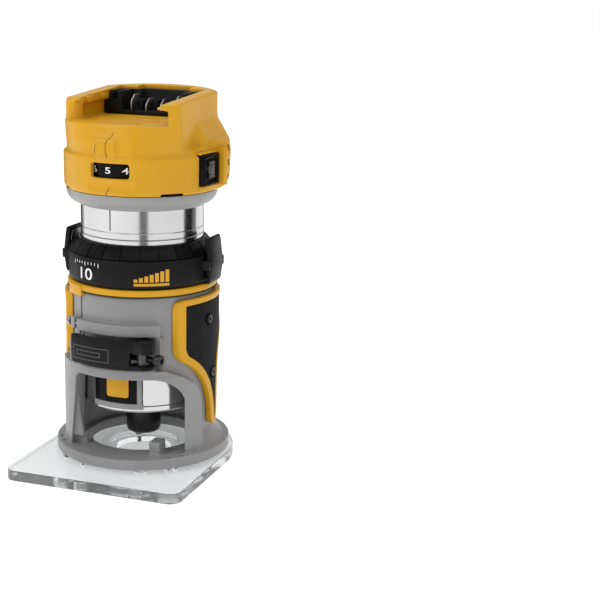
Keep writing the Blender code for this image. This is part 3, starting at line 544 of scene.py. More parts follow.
def make_plate():
    plate = prism(plate_outline(), 0.0, PLATE_THICKNESS)
    plate = cut(plate, tube(0.0, 16.0, -1, 8, 72))
    plate = cut(plate, tube(0.0, 20.0, 3.4, 8, 72))
    for x, y, _ in PLATE_SCREWS:
        plate = cut(plate, rod((x, y, -1), (x, y, 8), 2.3, 24))
        plate = cut(plate, rod((x, y, -1), (x, y, 2.8), 4.2, 28))
    for x, y, _ in PLATE_HOLES:
        plate = cut(plate, rod((x, y, 2.0), (x, y, 8), 4.2, 32))
    piece("clear_sub_base", plate, clear, "base", ("sub_base",), bevel=0.4, angle=20)


def window_outline():
    outline = [(-29.0, 11.6), (36.8, 11.6), (36.8, 30)] + quarter_turn((21.8, 41.6), 15.0, 0)
    return outline + [(-20.5, 56.6), (-23.4, 53.8), (-24.6, 42)]


def front_legs():
    """The thick band around the front window; its right edge follows the window's arch."""
    loops = []
    for height, last in ((11.2, 75), (20, 73), (36, 72), (46, 70), (52, 65), (57, 54), (61.4, 40)):
        angles = [-61 + (last + 61) * i / 60 for i in range(61)]
        loop = [around(38.5, angle, height) for angle in angles]
        loop += [around(44.9, angle, height) for angle in angles[::-1]]
        loops.append(loop)
    return loft(loops)


def make_casting():
    wall = [(35.1, 10), (40.4, 10), (40.4, 101.4), (39.6, 102.2), (35.1, 102.2)]
    base = turned(wall, 144)
    flare = [(37.1, 11), (48.0, 11), (46.2, 12.2), (44.8, 13.8), (43.4, 15.6), (42.4, 17), (41.0, 20)]
    base = join(base, turned(flare + [(40.2, 22.4), (37.1, 22.4)], 96, 66, 240))
    base = join(base, front_legs())
    base = cut(base, facing_front(window_outline(), -60, -5))
    base = join(base, turned([(31.0, 6.3), (49.6, 6.3), (49.6, 12.1), (31.0, 12.1)], 144))
    base = cut(base, sector(39.2, 43, 61.8, 81.2, -36, 37.4, 32))
    base = join(base, sector(38, 44.6, 80.8, 87.2, -30.4, 37, 32))
    base = join(base, sector(38, 44.6, 57.0, 62.2, -30.4, 33, 32))
    base = join(base, sector(38, 44.6, 80.8, 87.2, -39.6, -33.6, 6))
    for low, high in (
        ((-25.6, -41.2, 64), (-22.6, -31, 76)),
        ((17, -36.0, 64.6), (27, -31.5, 79.8)),
        ((18.6, -33.6, 11), (25, -24.6, 19)),
        ((-28, -30, 11), (-21.6, -21.6, 19)),
    ):
        base = join(base, box(low, high))
    fin = [(-28.5, 17), (-21.8, 17), (-22.6, 22), (-24.0, 30), (-24.9, 46), (-28.5, 46)]
    base = join(base, facing_front(fin, -33.0, -30.2))
    base = cut(base, turned_to(box((-0.7, -41.4, 50), (0.7, -30, 110)), SLIT_ANGLE))
    base = cut(base, rod(BOLT_START, BOLT_END + (BOLT_END - BOLT_START) * 0.01, 1.8, 20))
    for x, y in ((-40.5, -23.3), (-35.5, -30.0), (31.0, -34.1), (36.6, -28.9)):
        base = cut(base, rod((x, y, 7), (x, y, 14), 1.3, 20))
    piece("base_casting", base, casting, "base", ("base_body",), cast=0.45, fillet=3)


def grip_outline():
    front = [(-24.0, 99.6), (-26.6, 98.2), (-27.6, 94), (-27.6, 82), (-27.4, 71), (-25.0, 65.6)]
    front += [(-18.8, 60.6), (-12.4, 53.6), (-7.0, 44.6), (-4.0, 34.5), (-3.4, 27), (-1.6, 23.4)]
    rear = [(2.4, 23.0), (4.8, 27.4), (5.8, 40), (7.0, 56), (11, 68), (19.0, 77), (25.0, 85)]
    rear += [(26.2, 93), (25.0, 98.4), (21.5, 99.8)]
    return open_curve(front, 5) + open_curve(rear, 5)


def clearance(point, outline):
    found = []
    for start, end in zip(outline, outline[1:] + outline[:1]):
        start, end = Vector(start), Vector(end)
        along = end - start
        share = min(1.0, max(0.0, (point - start).dot(along) / along.length_squared))
        found.append((point - start - along * share).length)
    return min(found)


def inset(outline, ahead_width, behind_width):
    """An anticlockwise outline moved inwards, by one width on its low side and another on its high one."""
    found = []
    for i, corner in enumerate(outline):
        corner = Vector(corner)
        ahead = (Vector(outline[(i + 1) % len(outline)]) - corner).normalized()
        behind = (corner - Vector(outline[i - 1])).normalized()
        normal = (ahead.orthogonal() + behind.orthogonal()).normalized()
        width = behind_width + (ahead_width - behind_width) * (1 + normal.x) / 2
        point = corner + normal * width / max(0.5, normal.dot(ahead.orthogonal()))
        if clearance(point, outline) > 0.93 * width:
            found.append(tuple(point))
    return found


def facing_side(outline, side):
    return loft([[(side * x, y, z) for y, z in outline] for x in (24, 60)])


def side_wall(outer, side):
    return mirrored(sector(40.7, outer, 15, 110, 42, 138, 72), side)


GRIP_SCREWS = ((-6.0, 86.0), (-1.0, 54.0))


def make_grips():
    outline = grip_outline()
    opening = inset(outline, 4.2, 2.0)
    for side_name, side in SIDES:
        rim = worked(side_wall(RIM_RADIUS, side), facing_side(outline, side), "INTERSECT")
        rim = cut(rim, facing_side(opening, side))
        name = f"grip_frame_{side_name}"
        piece(f"{name}_moulding", rim, yellow, "base", (name,), cast=0.32, fillet=3)
        pad = worked(side_wall(PAD_RADIUS, side), facing_side(inset(opening, 0.3, 0.3), side), "INTERSECT")
        for y, z in GRIP_SCREWS:
            pad = cut(pad, rod((side * 42.2, y, z), (side * 50, y, z), 3.4, 28))
        name = f"grip_pad_{side_name}"
        piece(f"{name}_rubber", pad, rubber, "base", (name,), cast=0.32, fillet=3)


def make_collar():
    profile = [(35.3, 102.5), (41.7, 102.5), (42.2, 103.0), (42.2, 105.4), (41.6, 106.1), (35.3, 106.1)]
    collar = join(turned(profile, 144), sector(40.7, 43.0, 99.9, 105.6, -46, -27, 10))
    piece("collar_moulding", collar, yellow, "base", ("collar_ring",), bevel=0.25)
    edge = tube(40.5, 42.45, 102.15, 102.55, 144)
    piece("collar_shadow_line", edge, dark_marks_and_painted_shade, "base")


# ---- lever


def lever_outline():
    outline = [around(50.0, -27.5 + 46.5 * i / 24) for i in range(25)]
    pivot = Vector((LEVER_X, LEVER_Y, 0))
    hub = [pivot + around(6.6, 20 + 196 * i / 24) for i in range(25)]
    inner = [around(46.4, 12 - 39 * i / 24) for i in range(25)]
    return [(p.x, p.y) for p in outline + hub + inner]


def make_lever():
    lever = prism(lever_outline(), 64.5, 80.0)
    x, y = LEVER_X, LEVER_Y
    lever = cut(lever, rod((x, y, 60), (x, y, 85), 3.8, 36))
    lever = cut(lever, box((x - 6.0, y - 12, 66.4), (x + 9.0, y + 9, 73.6)))
    lever = cut(lever, box((x - 14.0, y - 2.2, 66.4), (x - 5.0, y + 9, 73.6)))
    piece("lever_moulding", lever, black, "locking_lever", ("locking_lever",), bevel=0.5)
    lines = []
    for low, high, first, last in ((67.2, 74.4, -24.5, 2.5), (69.6, 72.0, -21.5, -3.5)):
        for level in (low, high):
            lines.append(sector(49.9, 50.12, level, level + 0.34, first, last, 24))
        for end in (first, last):
            lines.append(sector(49.9, 50.12, low, high + 0.34, end, end + 0.4, 2))
    piece("lever_engraving", together(lines), engraving_grey_and_painted_light, "locking_lever")


# ---- release collar, ring and tabs


def make_skirt():
    skirt = [(35.3, 106.4), (40.0, 106.4), (40.9, 107.0), (41.4, 108.0)]
    skirt += [(SKIRT_RADIUS, 109.2), (SKIRT_RADIUS, 121.6), (41.2, 122.1), (40.6, 122.3)]
    skirt += [(38.2, 122.3), (38.2, 112.0), (35.3, 112.0)]
    shapes = [turned(skirt, 160)]
    for _, side in SIDES:
        for end in (-1, 1):
            low, high = sorted((end * 8.9, end * 11.0))
            shapes.append(mirrored(box((38.8, low, 114.4), (45.2, high, 119.6)), side))
    names = ("release_collar",)
    piece("skirt_moulding", together(shapes), black, "release_collar", names, bevel=0.35)


def make_ring():
    """The ribbed cone that sets the depth, on its threaded sleeve."""
    ribs = 24
    groove = 0.7
    one_rib = [(-7.5, groove), (-7.1, groove)] + [(x, 0.0) for x in (-6.8, -2.3, 2.3, 6.8)] + [(7.1, groove)]
    loops = []
    for height, radius in ((122.6, 41.1), (122.9, 41.5), (129.2, 36.7), (129.6, 36.1)):
        loop = []
        for i in range(ribs):
            for offset, depth in one_rib:
                loop.append(around(radius - depth, i * 360 / ribs + offset, height))
        loops.append(loop)
    ring = join(loft(loops), tube(33.0, 37.8, 112.4, 123.3, 120))
    ring = cut(ring, tube(0.0, 34.9, 110, 135, 144))
    piece("ring_moulding", ring, gloss_black, "depth_ring", ("depth_ring",))


def tab_profile():
    points = [(42.5, 107.0), (44.2, 107.0), (44.9, 111), (45.5, 115), (45.5, 119.2), (44.9, 124)]
    return points + [(44.2, 129.6), (43.4, 131.8), (41.6, 131.6), (41.4, 129.8), (42.2, 124.6), (42.5, 121)]


def make_tabs():
    for side_name, side in SIDES:
        outline = closed_curve(tab_profile(), 3)
        tab = mirrored(facing_front(outline, -8.5, 8.5), side)
        name = f"tab_{side_name}"
        tab = cut(tab, mirrored(box((41.0, -2.9, 115.3), (45.05, 2.9, 118.7)), side))
        piece(f"{name}_moulding", tab, black, name, (name,), bevel=0.5)
        outline = [(41.9, 123.6), (42.25, 123.6), (41.5, 129.6), (41.15, 129.6)]
        clip = mirrored(facing_front(outline, -6, 6), side)
        piece(f"{name}_clip", clip, milled, name, bevel=0.1)


# ---- motor


def make_can():
    """The polished can: a turned shell left open where the lock plate sits."""
    levels = [34.5, 34.9, 35.7, 38.0, 38.4, 38.8, 39.6, 55.5, 56.3, 131.8, 132.0, 132.4, 132.8, 133.0]
    levels += [135.6, 135.8, 136.1, 136.4, 136.6, 156.0]
    grooves = {34.5: -1.4, 34.9: -0.7, 38.4: -0.4, 132.4: -0.4, 136.1: -0.25}
    first, last = -27.0, 25.0
    opening_foot = 39.6
    opening_steps, rest_steps = 30, 150
    angles = [first + (last - first) * i / opening_steps for i in range(opening_steps)]
    angles += [last + (360 - last + first) * i / rest_steps for i in range(rest_steps)]
    count = len(angles)
    points = [around(CAN_RADIUS + grooves.get(z, 0.0), angle, z) for z in levels for angle in angles]
    faces = []
    for row, z in enumerate(levels[:-1]):
        for i in range(count):
            if z == opening_foot and i < opening_steps:
                continue
            j = (i + 1) % count
            faces.append((row * count + i, row * count + j, (row + 1) * count + j, (row + 1) * count + i))
    ring = len(points)
    points += [around(9.5, angle, 34.5) for angle in angles]
    faces += [(i, ring + i, ring + (i + 1) % count, (i + 1) % count) for i in range(count)]
    mesh = bpy.data.meshes.new("can")
    mesh.from_pydata([tuple(p) for p in points], [], faces)
    piece("can_polished_shell", mesh, polished, "motor", ("motor_can",), angle=25, wall=0.4)
    opening = []
    for angle in (first, last):
        opening.append(turned_to(box((-0.3, -34.45, 39.6), (0.3, -31.0, 55.5)), angle))
    opening.append(sector(31.0, 34.45, 39.0, 39.65, first, last, 30))
    opening.append(sector(31.0, 34.45, 55.45, 56.0, first, last, 30))
    piece("lock_opening_edges", together(opening), polished, "motor")
    line = turned_to(box((-0.28, -34.62, 137.0), (0.28, -34.3, 150.0)), -5.6)
    piece("can_index_line", line, dark_marks_and_painted_shade, "motor")


def make_bezel():
    inner = 34.8
    outline = [(inner, 148.6), (35.6, 148.6)]
    for i in range(1, 17):
        angle = math.pi / 2 * i / 16
        outline.append((35.6 + 6.6 * math.sin(angle), 157.3 - 8.0 * math.cos(angle)))
    outline += [(39.2, 157.3), (37.5, 153.5), (inner, 152.0)]
    piece("bezel_moulding", turned(outline, 160), grey_plastic, "motor", ("lower_bezel",))


def blend(value, low, high):
    share = min(1.0, max(0.0, (value - low) / (high - low)))
    return share * share * (3 - 2 * share)


def bump_at(value, centre, half, soft):
    """1 within half of the centre, falling smoothly to 0 over the soft edge."""
    return 1.0 - blend(abs(value - centre), half, half + soft)


def housing_loop(height, front, rear, flat, dip, count, slope=0.0, detail=False, inside=0.0):
    loop = []
    for i in range(count):
        half_width = flat
        degrees = 360 * (i + 0.5) / count
        signed = math.remainder(degrees, 360)
        from_front = abs(signed)
        radius = front + (rear - front) * blend(from_front, 88, 106)
        if from_front < 44:
            radius -= dip * math.cos(math.radians(from_front * 90 / 44)) ** 2
        if detail:
            ridge = bump_at(from_front, 60, 14, 12) * blend(height, 178.8, 182.0)
            half_width -= max(0.0, half_width - 34.6 + inside) * ridge
            radius -= 1.6 * bump_at(from_front, 84, 4, 9) * bump_at(height, 186.0, 3.0, 4.0)
        if detail and not inside:
            radius += 1.3 * bump_at(signed, -3.5, 8.0, 2.5) * bump_at(height, 183.2, 3.6, 2.0)
            radius += 0.9 * bump_at(signed, 11.5, 5.5, 5.0) * bump_at(height, 182.4, 2.6, 2.6)
            radius -= 0.5 * bump_at(signed, 0.5, 16.5, 1.2) * bump_at(height, 162.9, 1.7, 0.9)
        radius = min(radius, half_width / max(1e-6, abs(math.sin(math.radians(degrees)))))
        point = around(radius, degrees, height)
        point.z += slope * point.y
        loop.append(point)
    return loop


HOUSING_LEVELS = (
    (157.6, 42.4, 44.2, 60, 0),
    (158.6, 43.1, 46.0, 60, 0),
    (163.0, 43.3, 48.7, 60, 0),
    (177.4, 43.3, 49.3, 60, 0),
    (178.8, 41.3, 49.2, 60, 0),
    (186.0, 42.2, 48.4, 40.0, 1.5),
    (191.0, 42.4, 46.0, 36.6, 3.4),
    (194.8, 42.8, 43.9, 34.6, 5.0),
    (199.0, 43.0, 43.5, 34.4, 5.4),
)


def level_at(height):
    """The housing's sizes at a height between two of its levels."""
    for low, high in zip(HOUSING_LEVELS, HOUSING_LEVELS[1:]):
        if height <= high[0]:
            share = (height - low[0]) / (high[0] - low[0])
            return [a + (b - a) * share for a, b in zip(low, high)]
    return list(HOUSING_LEVELS[-1])


def housing_shell():
    heights = [157.6, 158.0, 158.6, 160, 161, 161.6, 162.2, 163, 164, 164.6, 165.4, 171, 177.4, 178.0, 178.4]
    heights += [178.8, 179.4] + [180 + 0.8 * i for i in range(14)] + [192, 193.4, 194.8, 197, 199]
    loops = [housing_loop(*level_at(z), 200, detail=True) for z in heights]
    loops.append(housing_loop(207.3, 43.0, 43.5, 34.4, 5.4, 200, FOOT_SLOPE))
    loops.append(housing_loop(208.3, 42.0, 42.5, 33.4, 5.4, 200, FOOT_SLOPE))
    return loft(loops)


def housing_cavity():
    wall = 2.6
    loops = [housing_loop(150, 39.8, 41.0, 60, 0, 96)]
    for z in (163.0, 171.0, 178.0, 180.0, 182.0, 184.0, 186.0, 188.0, 190.0, 191.4):
        _, front, rear, half, dip = level_at(z)
        loops.append(housing_loop(z, front - wall, rear - wall, half - wall, dip, 96, 0.0, True, wall))
    loops.append(housing_loop(192.3, 36.0, 38.0, 31.0, 1.0, 96))
    return loft(loops)


def bay_shape():
    """What the battery slides through, as (x, z), narrower above its rails."""
    half = [(29.5, 195.0), (29.5, 202.8), (26.3, 203.6), (26.3, 220)]
    return [(-x, z) for x, z in half[::-1]] + half


def switch_box(half_width, low, high, near, far):
    return turned_to(box((-half_width, -far, low), (half_width, -near, high)), ROCKER_ANGLE)


def rounded_window(first, last, low, high, corner):
    """A cutter for a window in a round wall, with rounded corners."""
    wide = math.degrees(corner / 43.0)
    outline = []
    for across, up, start in ((last, high, 0), (first, high, 90), (first, low, 180), (last, low, 270)):
        middle = (across - math.copysign(wide, across), up - math.copysign(corner, up - DIAL_Z))
        for i in range(7):
            angle = math.radians(start + 15 * i)
            outline.append((middle[0] + wide * math.cos(angle), middle[1] + corner * math.sin(angle)))
    return loft([[around(radius, degrees, z) for degrees, z in outline] for radius in (30, 50)])


def turned_post(x, y, radius):
    """The rounded front end of the left rail's wall."""
    loops = []
    for height, share in ((193.0, 1.0), (203.4, 1.0), (205.2, 0.93), (206.2, 0.75), (206.7, 0.45)):
        loop = [around(radius * share, 10 * i, height) for i in range(36)]
        loops.append([point + Vector((x, y, 0)) for point in loop])
    return loft(loops)


def make_housing():
    shell = cut(housing_shell(), housing_cavity())
    shell = cut(shell, facing_front(bay_shape(), -60, 29))
    shell = cut(shell, box((-16, 20, 194.7), (16, 37, 220)))
    shell = cut(shell, box((-40, -60, BATTERY_FLOOR), (-24.4, -23.4, 220)))
    shell = join(shell, turned_post(-29.6, -23.0, 4.6))
    shell = cut(shell, rounded_window(-14.2, 15.8, 167.0, 175.0, 1.5))
    for first, last in ((-66, -43), (38, 56)):
        shell = cut(shell, sector(38, 50, 150, 158.9, first, last, 12))
    for i in range(3):
        for side in (-1, 1):
            low = 162.5 + 8.0 * i
            shell = cut(shell, mirrored(sector(40, 55, low, low + 3.4, 102, 114, 8), side))
    for i in range(4):
        low = 162.5 + 5.6 * i
        shell = cut(shell, sector(40, 55, low, low + 2.8, 160, 200, 16))
    shell = cut(shell, switch_box(8.6, 161.5, 178.5, 30, 60))
    for y, z in ((-19.0, 162.0), (-19.0, 187.6), (28.0, 163.0), (28.0, 187.6)):
        shell = cut(shell, rod((-60, y, z), (-30, y, z), 2.9, 24))
    names = ("housing_left", "housing_right")
    piece("housing_moulding", shell, yellow, "motor", names, cast=0.4, fillet=4)


def seam(name, path, radius):
    """A fine dark line that follows the surface: a curve's tube, as a mesh."""
    curve = bpy.data.curves.new(name, "CURVE")
    curve.dimensions = "3D"
    line = curve.splines.new("POLY")
    line.points.add(len(path) - 1)
    for point, place in zip(line.points, path):
        point.co = (*place, 1)
    curve.bevel_depth = radius
    curve.bevel_resolution = 1
    curve.use_fill_caps = True
    piece(name, mesh_from_curve(curve), dark_marks_and_painted_shade, "motor")


def on_front(degrees, height):
    """A point just under the housing's front surface."""
    count = 720
    loop = housing_loop(*level_at(height), count, detail=True)
    nearest = loop[int(round((degrees % 360) * count / 360 - 0.5)) % count]
    return around(math.hypot(nearest.x, nearest.y) - 0.02, degrees, height)


def make_vent_shade_wall():
    """A near-black wall behind the vents, painted shade for the housing's inside, with a rib between the side
    vents and the rear ones.
    """
    shapes = [sector(31, 33, 158.5, 181.5, 50, 310, 96)]
    for degrees in (120, 240):
        shapes.append(sector(32.5, 44.5, 159.5, 181.5, degrees - 1, degrees + 1, 2))
    piece("vent_shade_wall", together(shapes), dark_marks_and_painted_shade, "motor")


def make_seams():
    """Where the housing's halves meet in front, and the edge of the latch plate beside it."""
    lower = [on_front(-0.6 - 1.2 * math.cos(math.pi * i / 12), 157.8 + 4.6 * i / 12) for i in range(13)]
    seam("seam_below_dial", lower, 0.16)
    upper = []
    for i in range(25):
        share = i / 24
        degrees = -1.2 + 3.6 * blend(share, 0.55, 1.0) - 1.4 * math.sin(math.pi * share)
        upper.append(on_front(degrees, 177.6 + 13.4 * share))
    seam("seam_above_dial", upper, 0.16)
    notch = [on_front(-11.6 + abs(i - 6) / 6, 179.6 + 5.0 * i / 12) for i in range(13)]
    seam("latch_plate_edge", notch, 0.14)


def make_rails():
    """The battery's rails and stops: lips, ribs and the moulded marks on the bay's floor."""
    shapes = []
    for side in (-1, 1):
        shapes.append(mirrored(box((25.3, -31, 204.4), (26.6, -22, 206.0)), side))
        shapes.append(mirrored(box((24.7, -16, 203.8), (26.6, -8, 206.8)), side))
        shapes.append(mirrored(box((25.4, 1, 204.6), (26.6, 8, 206.9)), side))
    shapes.append(box((24.2, -33.0, 203.7), (26.8, -29.0, 205.0)))
    for y in (-30.0, -25.5):
        shapes.append(box((-18, y, 194.9), (12, y + 0.9, 195.35)))
    for x in (-17.0, -5.0, 7.0):
        shapes.append(box((x, -18, 194.9), (x + 8.0, -17.2, 195.35)))
        shapes.append(box((x, -12, 194.9), (x + 8.0, -11.2, 195.35)))
    shapes.append(tube(3.4, 4.2, 194.9, 195.35, 40))
    mesh = together(shapes)
    piece("bay_rails_and_marks", mesh, yellow, "motor", bevel=0.2)


def make_terminals():
    block = box((-29, 12, 195.3), (29, 28.7, 202.4))
    block = join(block, box((-25.8, 12, 199), (25.8, 28.7, 208.2)))
    block = join(block, box((-15.6, 20, 195.3), (15.6, 36.7, 208.2)))
    block = cut(block, box((-18, 5, 197.4), (18, 26.6, 215)))
    block = cut(block, box((-13, 20, 197.4), (13, 31, 215)))
    for x in (-22.4, 22.4):
        block = cut(block, box((x - 1.8, 5, 203.0), (x + 1.8, 24, 210)))
    shapes = [block]
    for x in (-9.0, 0.0, 9.0):
        shapes.append(box((x - 0.8, 18, 197.2), (x + 0.8, 31.2, 203.4)))
    names = ("terminal_block",)
    piece("terminal_moulding", together(shapes), black, "motor", names, bevel=0.3)
    for i, x in enumerate((-13.5, -4.5, 4.5, 13.5)):
        high = 206.0 if i in (0, 3) else 204.0
        outline = [(14.5, 196.4), (25.6, 196.4), (25.6, high), (19.0, high)]
        outline += [(15.4, high - 2.6), (14.5, high - 5)]
        blade = loft([[(x + dx, y, z) for y, z in outline] for dx in (-0.4, 0.4)])
        name = f"terminal_blade_{i + 1}"
        piece(f"{name}_tinned", blade, blade_metal, "motor", (name,), bevel=0.12)


def make_switch():
    frame_shape = switch_box(8.3, 161.8, 178.2, 38.5, 44.9)
    frame_shape = cut(frame_shape, switch_box(5.6, 164.0, 176.0, 30, 50))
    names = ("switch_frame",)
    piece("switch_frame_moulding", frame_shape, gloss_black, "motor", names, bevel=0.35)
    outline = [(39.0, 165.8), (44.5, 164.4), (44.8, 167.4), (43.7, 170)]
    outline += [(44.8, 172.6), (44.5, 175.6), (39.0, 174.2)]
    loops = [[(x, -radius, z) for radius, z in outline] for x in (-5.3, 5.3)]
    rocker = turned_to(loft(loops), ROCKER_ANGLE)
    names = ("power_rocker",)
    piece("rocker_moulding", rocker, gloss_black, "power_rocker", names, bevel=0.3)
    # The rocker's lit face: a lighter grey as painted light where the face catches the light.
    face = turned_to(box((-2.2, -44.78, 165.6), (3.9, -43.2, 174.6)), ROCKER_ANGLE)
    piece("rocker_lit_face", face, engraving_grey_and_painted_light, "power_rocker", bevel=0.4)
    rib = turned_to(box((9.0, -47.4, 160.5), (13.5, -40.0, 181.0)), ROCKER_ANGLE)
    sill = turned_to(box((-9.4, -43.9, 159.9), (12.2, -40.0, 161.4)), ROCKER_ANGLE)
    brow = turned_to(box((-9.4, -43.6, 178.6), (12.2, -40.0, 179.8)), ROCKER_ANGLE)
    surround = together([rib, sill, brow])
    piece("switch_surround", surround, yellow, "motor", bevel=0.7)


def text_mesh(words, size):
    """Numerals as a mesh in the XZ plane, centred, facing the front."""
    curve = bpy.data.curves.new("numerals", "FONT")
    curve.body = words
    curve.size = size
    curve.align_x = "CENTER"
    curve.align_y = "CENTER"
    curve.extrude = 0.05
    curve.offset = 0.06
    return mesh_from_curve(curve)


def wrapped(mesh, radius, degrees, height, centre=Vector((0, 0, 0)), wide=1.0):
    """Bends a flat mark round an upright cylinder, stretched in width by a factor."""
    for vertex in mesh.vertices:
        angle = degrees + math.degrees(vertex.co.x * wide / radius)
        vertex.co = centre + around(radius + vertex.co.z, angle, height + vertex.co.y)
    return mesh


def make_dial():
    """The numbered drum behind the housing's window, and a near-black surround it turns in: painted shade for
    the housing's inside.
    """
    centre = Vector((DIAL_X, DIAL_Y, 0))
    rings = ((167.3, 0.6), (167.5, 0.2), (167.8, 0.0), (174.2, 0.0), (174.5, 0.2), (174.7, 0.6))
    loops = []
    for z, drawn_in in rings:
        loops.append([centre + around(DIAL_RADIUS - drawn_in, 3 * i, z) for i in range(120)])
    piece("dial_moulding", loft(loops), gloss_black, "speed_dial", ("speed_dial",))
    numerals = []
    for i in range(7):
        degrees = -4.0 + NUMERAL_STEP * (4 - i)
        mark = text_mesh(str(i + 1), 4.8)
        numerals.append(wrapped(mark, DIAL_RADIUS, degrees, DIAL_Z, centre, wide=1.6))
    piece("dial_numerals", together(numerals), white_ink, "speed_dial")
    shade_surround = [sector(36.0, 41.4, 164.8, 167.1, -19, 20, 24), sector(36.0, 41.4, 174.9, 177.0, -19, 20, 24)]
    shade_surround += [sector(36.0, 41.2, 164.8, 177.0, -19, -14.6, 4), sector(36.0, 41.2, 164.8, 177.0, 16.2, 20, 4)]
    shade_surround.append(sector(33.0, 36.4, 164.8, 167.0, -19, 20, 24))
    piece("dial_shade_surround", together(shade_surround), dark_marks_and_painted_shade, "motor")


def make_scale():
    """A generic depth scale printed round the skirt: white numerals and a yellow rising wedge."""
    ink = (SKIRT_RADIUS - 0.1, SKIRT_RADIUS + 0.06)
    white = [wrapped(text_mesh("10", 9.0), SKIRT_RADIUS, -24.5, 112.6, wide=1.35)]
    for i in range(9):
        degrees = -38.0 + 3.4 * i
        tall = 2.2 if i % 4 == 0 else 1.3
        white.append(sector(*ink, 119.6 - tall, 119.6, degrees, degrees + 0.6, 1))
    piece("scale_white_print", together(white), white_ink, "release_collar")
    wedge = [sector(*ink, 108.8, 110.2, 18, 45, 30)]
    for i in range(7):
        first = 18.0 + 4.0 * i
        wedge.append(sector(*ink, 110.9, 112.6 + 0.85 * i, first, first + 2.9, 4))
    piece("scale_yellow_print", together(wedge), yellow_ink, "release_collar")


def make_lock():
    """The black plate the lock button slides in, and the frame that holds it in the can."""
    plate = sector(31.0, 34.3, 39.9, 55.2, -26.5, 18.6, 40)
    plate = cut(plate, box((-6.9, -40, 42.7), (6.9, -26, 54.9)))
    piece("lock_plate_moulding", plate, gloss_black, "motor", ("lock_plate",), bevel=0.25)
    post = sector(31.0, 34.9, 37.2, 55.3, 18.9, 23.6, 10)
    sill = sector(31.0, 34.85, 36.6, 39.7, -27.0, 25.0, 40)
    piece("lock_plate_frame", together([post, sill]), casting, "motor", bevel=0.3)


def carry_over(name, look, bevel=0.15):
    """Keeps a CAD solid whose shape is right, with rounded edges and its own material."""
    item = NODES[name]
    item.data.materials.clear()
    item.data.materials.append(look)
    weld = item.modifiers.new("weld", "WELD")
    weld.merge_threshold = 0.00001
    flat = item.modifiers.new("flat_faces", "DECIMATE")
    flat.decimate_type = "DISSOLVE"
    flat.angle_limit = math.radians(2)
    if bevel:
        round_edges(item, bevel, 38)
    item.data.shade_smooth()
    item.data.set_sharp_from_angle(angle=math.radians(38))


CARRIED = (
    (milled, ("clamp_stud", "clamp_nut", "bearing_plate", "rotor")),
    (dull_steel, ("pivot_barrel",)),
    (black_steel, ("clamp_bolt", "collet_nut")),
    (brushed, ("tab_pin_left", "tab_pin_right", "tab_spring_left", "tab_spring_right", "lock_spring")),
    (brushed, ("dial_axle", "lower_bearing", "upper_bearing", "spindle_shaft", "collet")),
    (board, ("circuit_board",)),
    (copper, ("stator",)),
    (yellow, ("lock_button",)),
    (black, ("cooling_fan",)),
)


def carry_over_the_rest():
    for look, names in CARRIED:
        for name in names:
            carry_over(name, look, 0.0 if "spring" in name else 0.15)
    for name in NODES:
        if "screw" in name:
            carry_over(name, black_steel, 0.1)
    for side_name, _ in SIDES:
        carry_over(f"light_lens_{side_name}", clear, 0.1)


# ---- studio


def make_floor():
    size = 6.0
    corners = [(-size, -size, 0), (size, -size, 0), (size, size, 0), (-size, size, 0)]
    mesh = bpy.data.meshes.new("studio_floor")
    mesh.from_pydata(corners, [], [(0, 1, 2, 3)])
    floor = linked("studio_floor", mesh)
    floor.location.z = cad_box[0][2] - 0.0002
    mesh.materials.append(floor_paper("floor_paper"))


def soft_light(name, place, target, size, power):
    data = bpy.data.lights.new(name, "AREA")
    data.shape = "RECTANGLE"
    data.size = size[0]
    data.size_y = size[1]
    data.energy = power
    light = linked(name, data)
    light.location = place
    light.rotation_euler = (Vector(target) - Vector(place)).to_track_quat("-Z", "Y").to_euler()


def make_flats():
    """Upright flats that only reflections show; they give the polished can its dark bands."""
    reach = 0.42
    for name, first, last, level in (
        ("middle", 19, 34, 0.22),
        ("right", 105, 127, 0.015),
        ("right_edge", 127, 139, 0.2),
        ("left", 222, 238, 0.05),
        ("left_edge", 238, 248, 0.3),
        ("rear", 176, 186, 0.2),
    ):
        points = []
        for degrees in (first, last):
            point = around(reach, degrees) + AXIS
            points += [(point.x, point.y, 0.0), (point.x, point.y, 0.75)]
        mesh = bpy.data.meshes.new(f"flat_{name}")
        mesh.from_pydata(points, [], [(0, 1, 3, 2)])
        look = Look(f"flat_{name}_card", 0.9)
        look.shader.inputs["Base Color"].default_value = (level, level, level, 1)
        look.shader.inputs["Specular IOR Level"].default_value = 0.0
        mesh.materials.append(look.material)
        flat = linked(f"flat_{name}", mesh)
        for kind in ("camera", "diffuse", "transmission", "volume_scatter", "shadow"):
            setattr(flat, f"visible_{kind}", False)


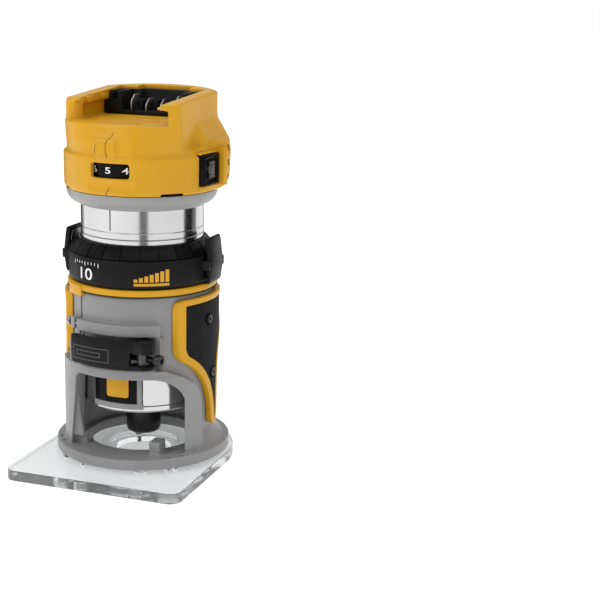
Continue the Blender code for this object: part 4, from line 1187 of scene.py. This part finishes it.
def make_world():
    """An even white studio."""
    world = bpy.data.worlds.new("studio")
    bpy.context.scene.world = world
    world.use_nodes = True
    nodes = world.node_tree.nodes
    links = world.node_tree.links
    background = nodes["Background"]
    background.inputs["Color"].default_value = (1, 1, 1, 1)
    background.inputs["Strength"].default_value = 0.6
    plain = nodes.new("ShaderNodeBackground")
    plain.inputs["Color"].default_value = (1, 1, 1, 1)
    seen = nodes.new("ShaderNodeLightPath").outputs["Is Camera Ray"]
    mix = nodes.new("ShaderNodeMixShader")
    links.new(seen, mix.inputs["Fac"])
    links.new(background.outputs["Background"], mix.inputs[1])
    links.new(plain.outputs["Background"], mix.inputs[2])
    links.new(mix.outputs["Shader"], nodes["World Output"].inputs["Surface"])


def make_camera():
    """The camera stands ahead and to the right, looking slightly down."""
    bearing, yaw, pitch, roll = (math.radians(a) for a in (25.01, 6.71, 13.71, 1.29))
    place = Vector((768.0 * math.sin(bearing), -768.0 * math.cos(bearing), 279.3)) * MM + AXIS
    level = Vector((-math.sin(bearing - yaw), math.cos(bearing - yaw), 0))
    right = Vector((math.cos(bearing - yaw), math.sin(bearing - yaw), 0))
    ahead = level * math.cos(pitch) - Vector((0, 0, math.sin(pitch)))
    above = right.cross(ahead)
    tilted_right = right * math.cos(roll) + above * math.sin(roll)
    tilted_up = above * math.cos(roll) - right * math.sin(roll)
    data = bpy.data.cameras.new("camera")
    data.sensor_width = 36.0
    data.lens = 82.4
    data.clip_start = 0.01
    camera = linked("camera", data)
    axes = Matrix((tilted_right, tilted_up, -ahead)).transposed()
    camera.matrix_world = Matrix.Translation(place) @ axes.to_4x4()
    bpy.context.scene.camera = camera


def make_studio():
    make_floor()
    make_world()
    middle = (0, 0, 0.1)
    soft_light("key_light", (-0.8, -0.95, 1.1), middle, (0.7, 0.7), 6.0)
    soft_light("top_light", (0.1, 0.1, 1.4), middle, (1.4, 1.4), 6.5)
    make_flats()
    make_camera()
    bpy.context.scene.view_settings.view_transform = "Standard"


make_plate()
make_casting()
make_grips()
make_collar()
make_lever()
make_skirt()
make_ring()
make_tabs()
make_scale()
make_can()
make_bezel()
make_housing()
make_vent_shade_wall()
make_seams()
make_rails()
make_terminals()
make_switch()
make_dial()
make_lock()
carry_over_the_rest()
make_studio()
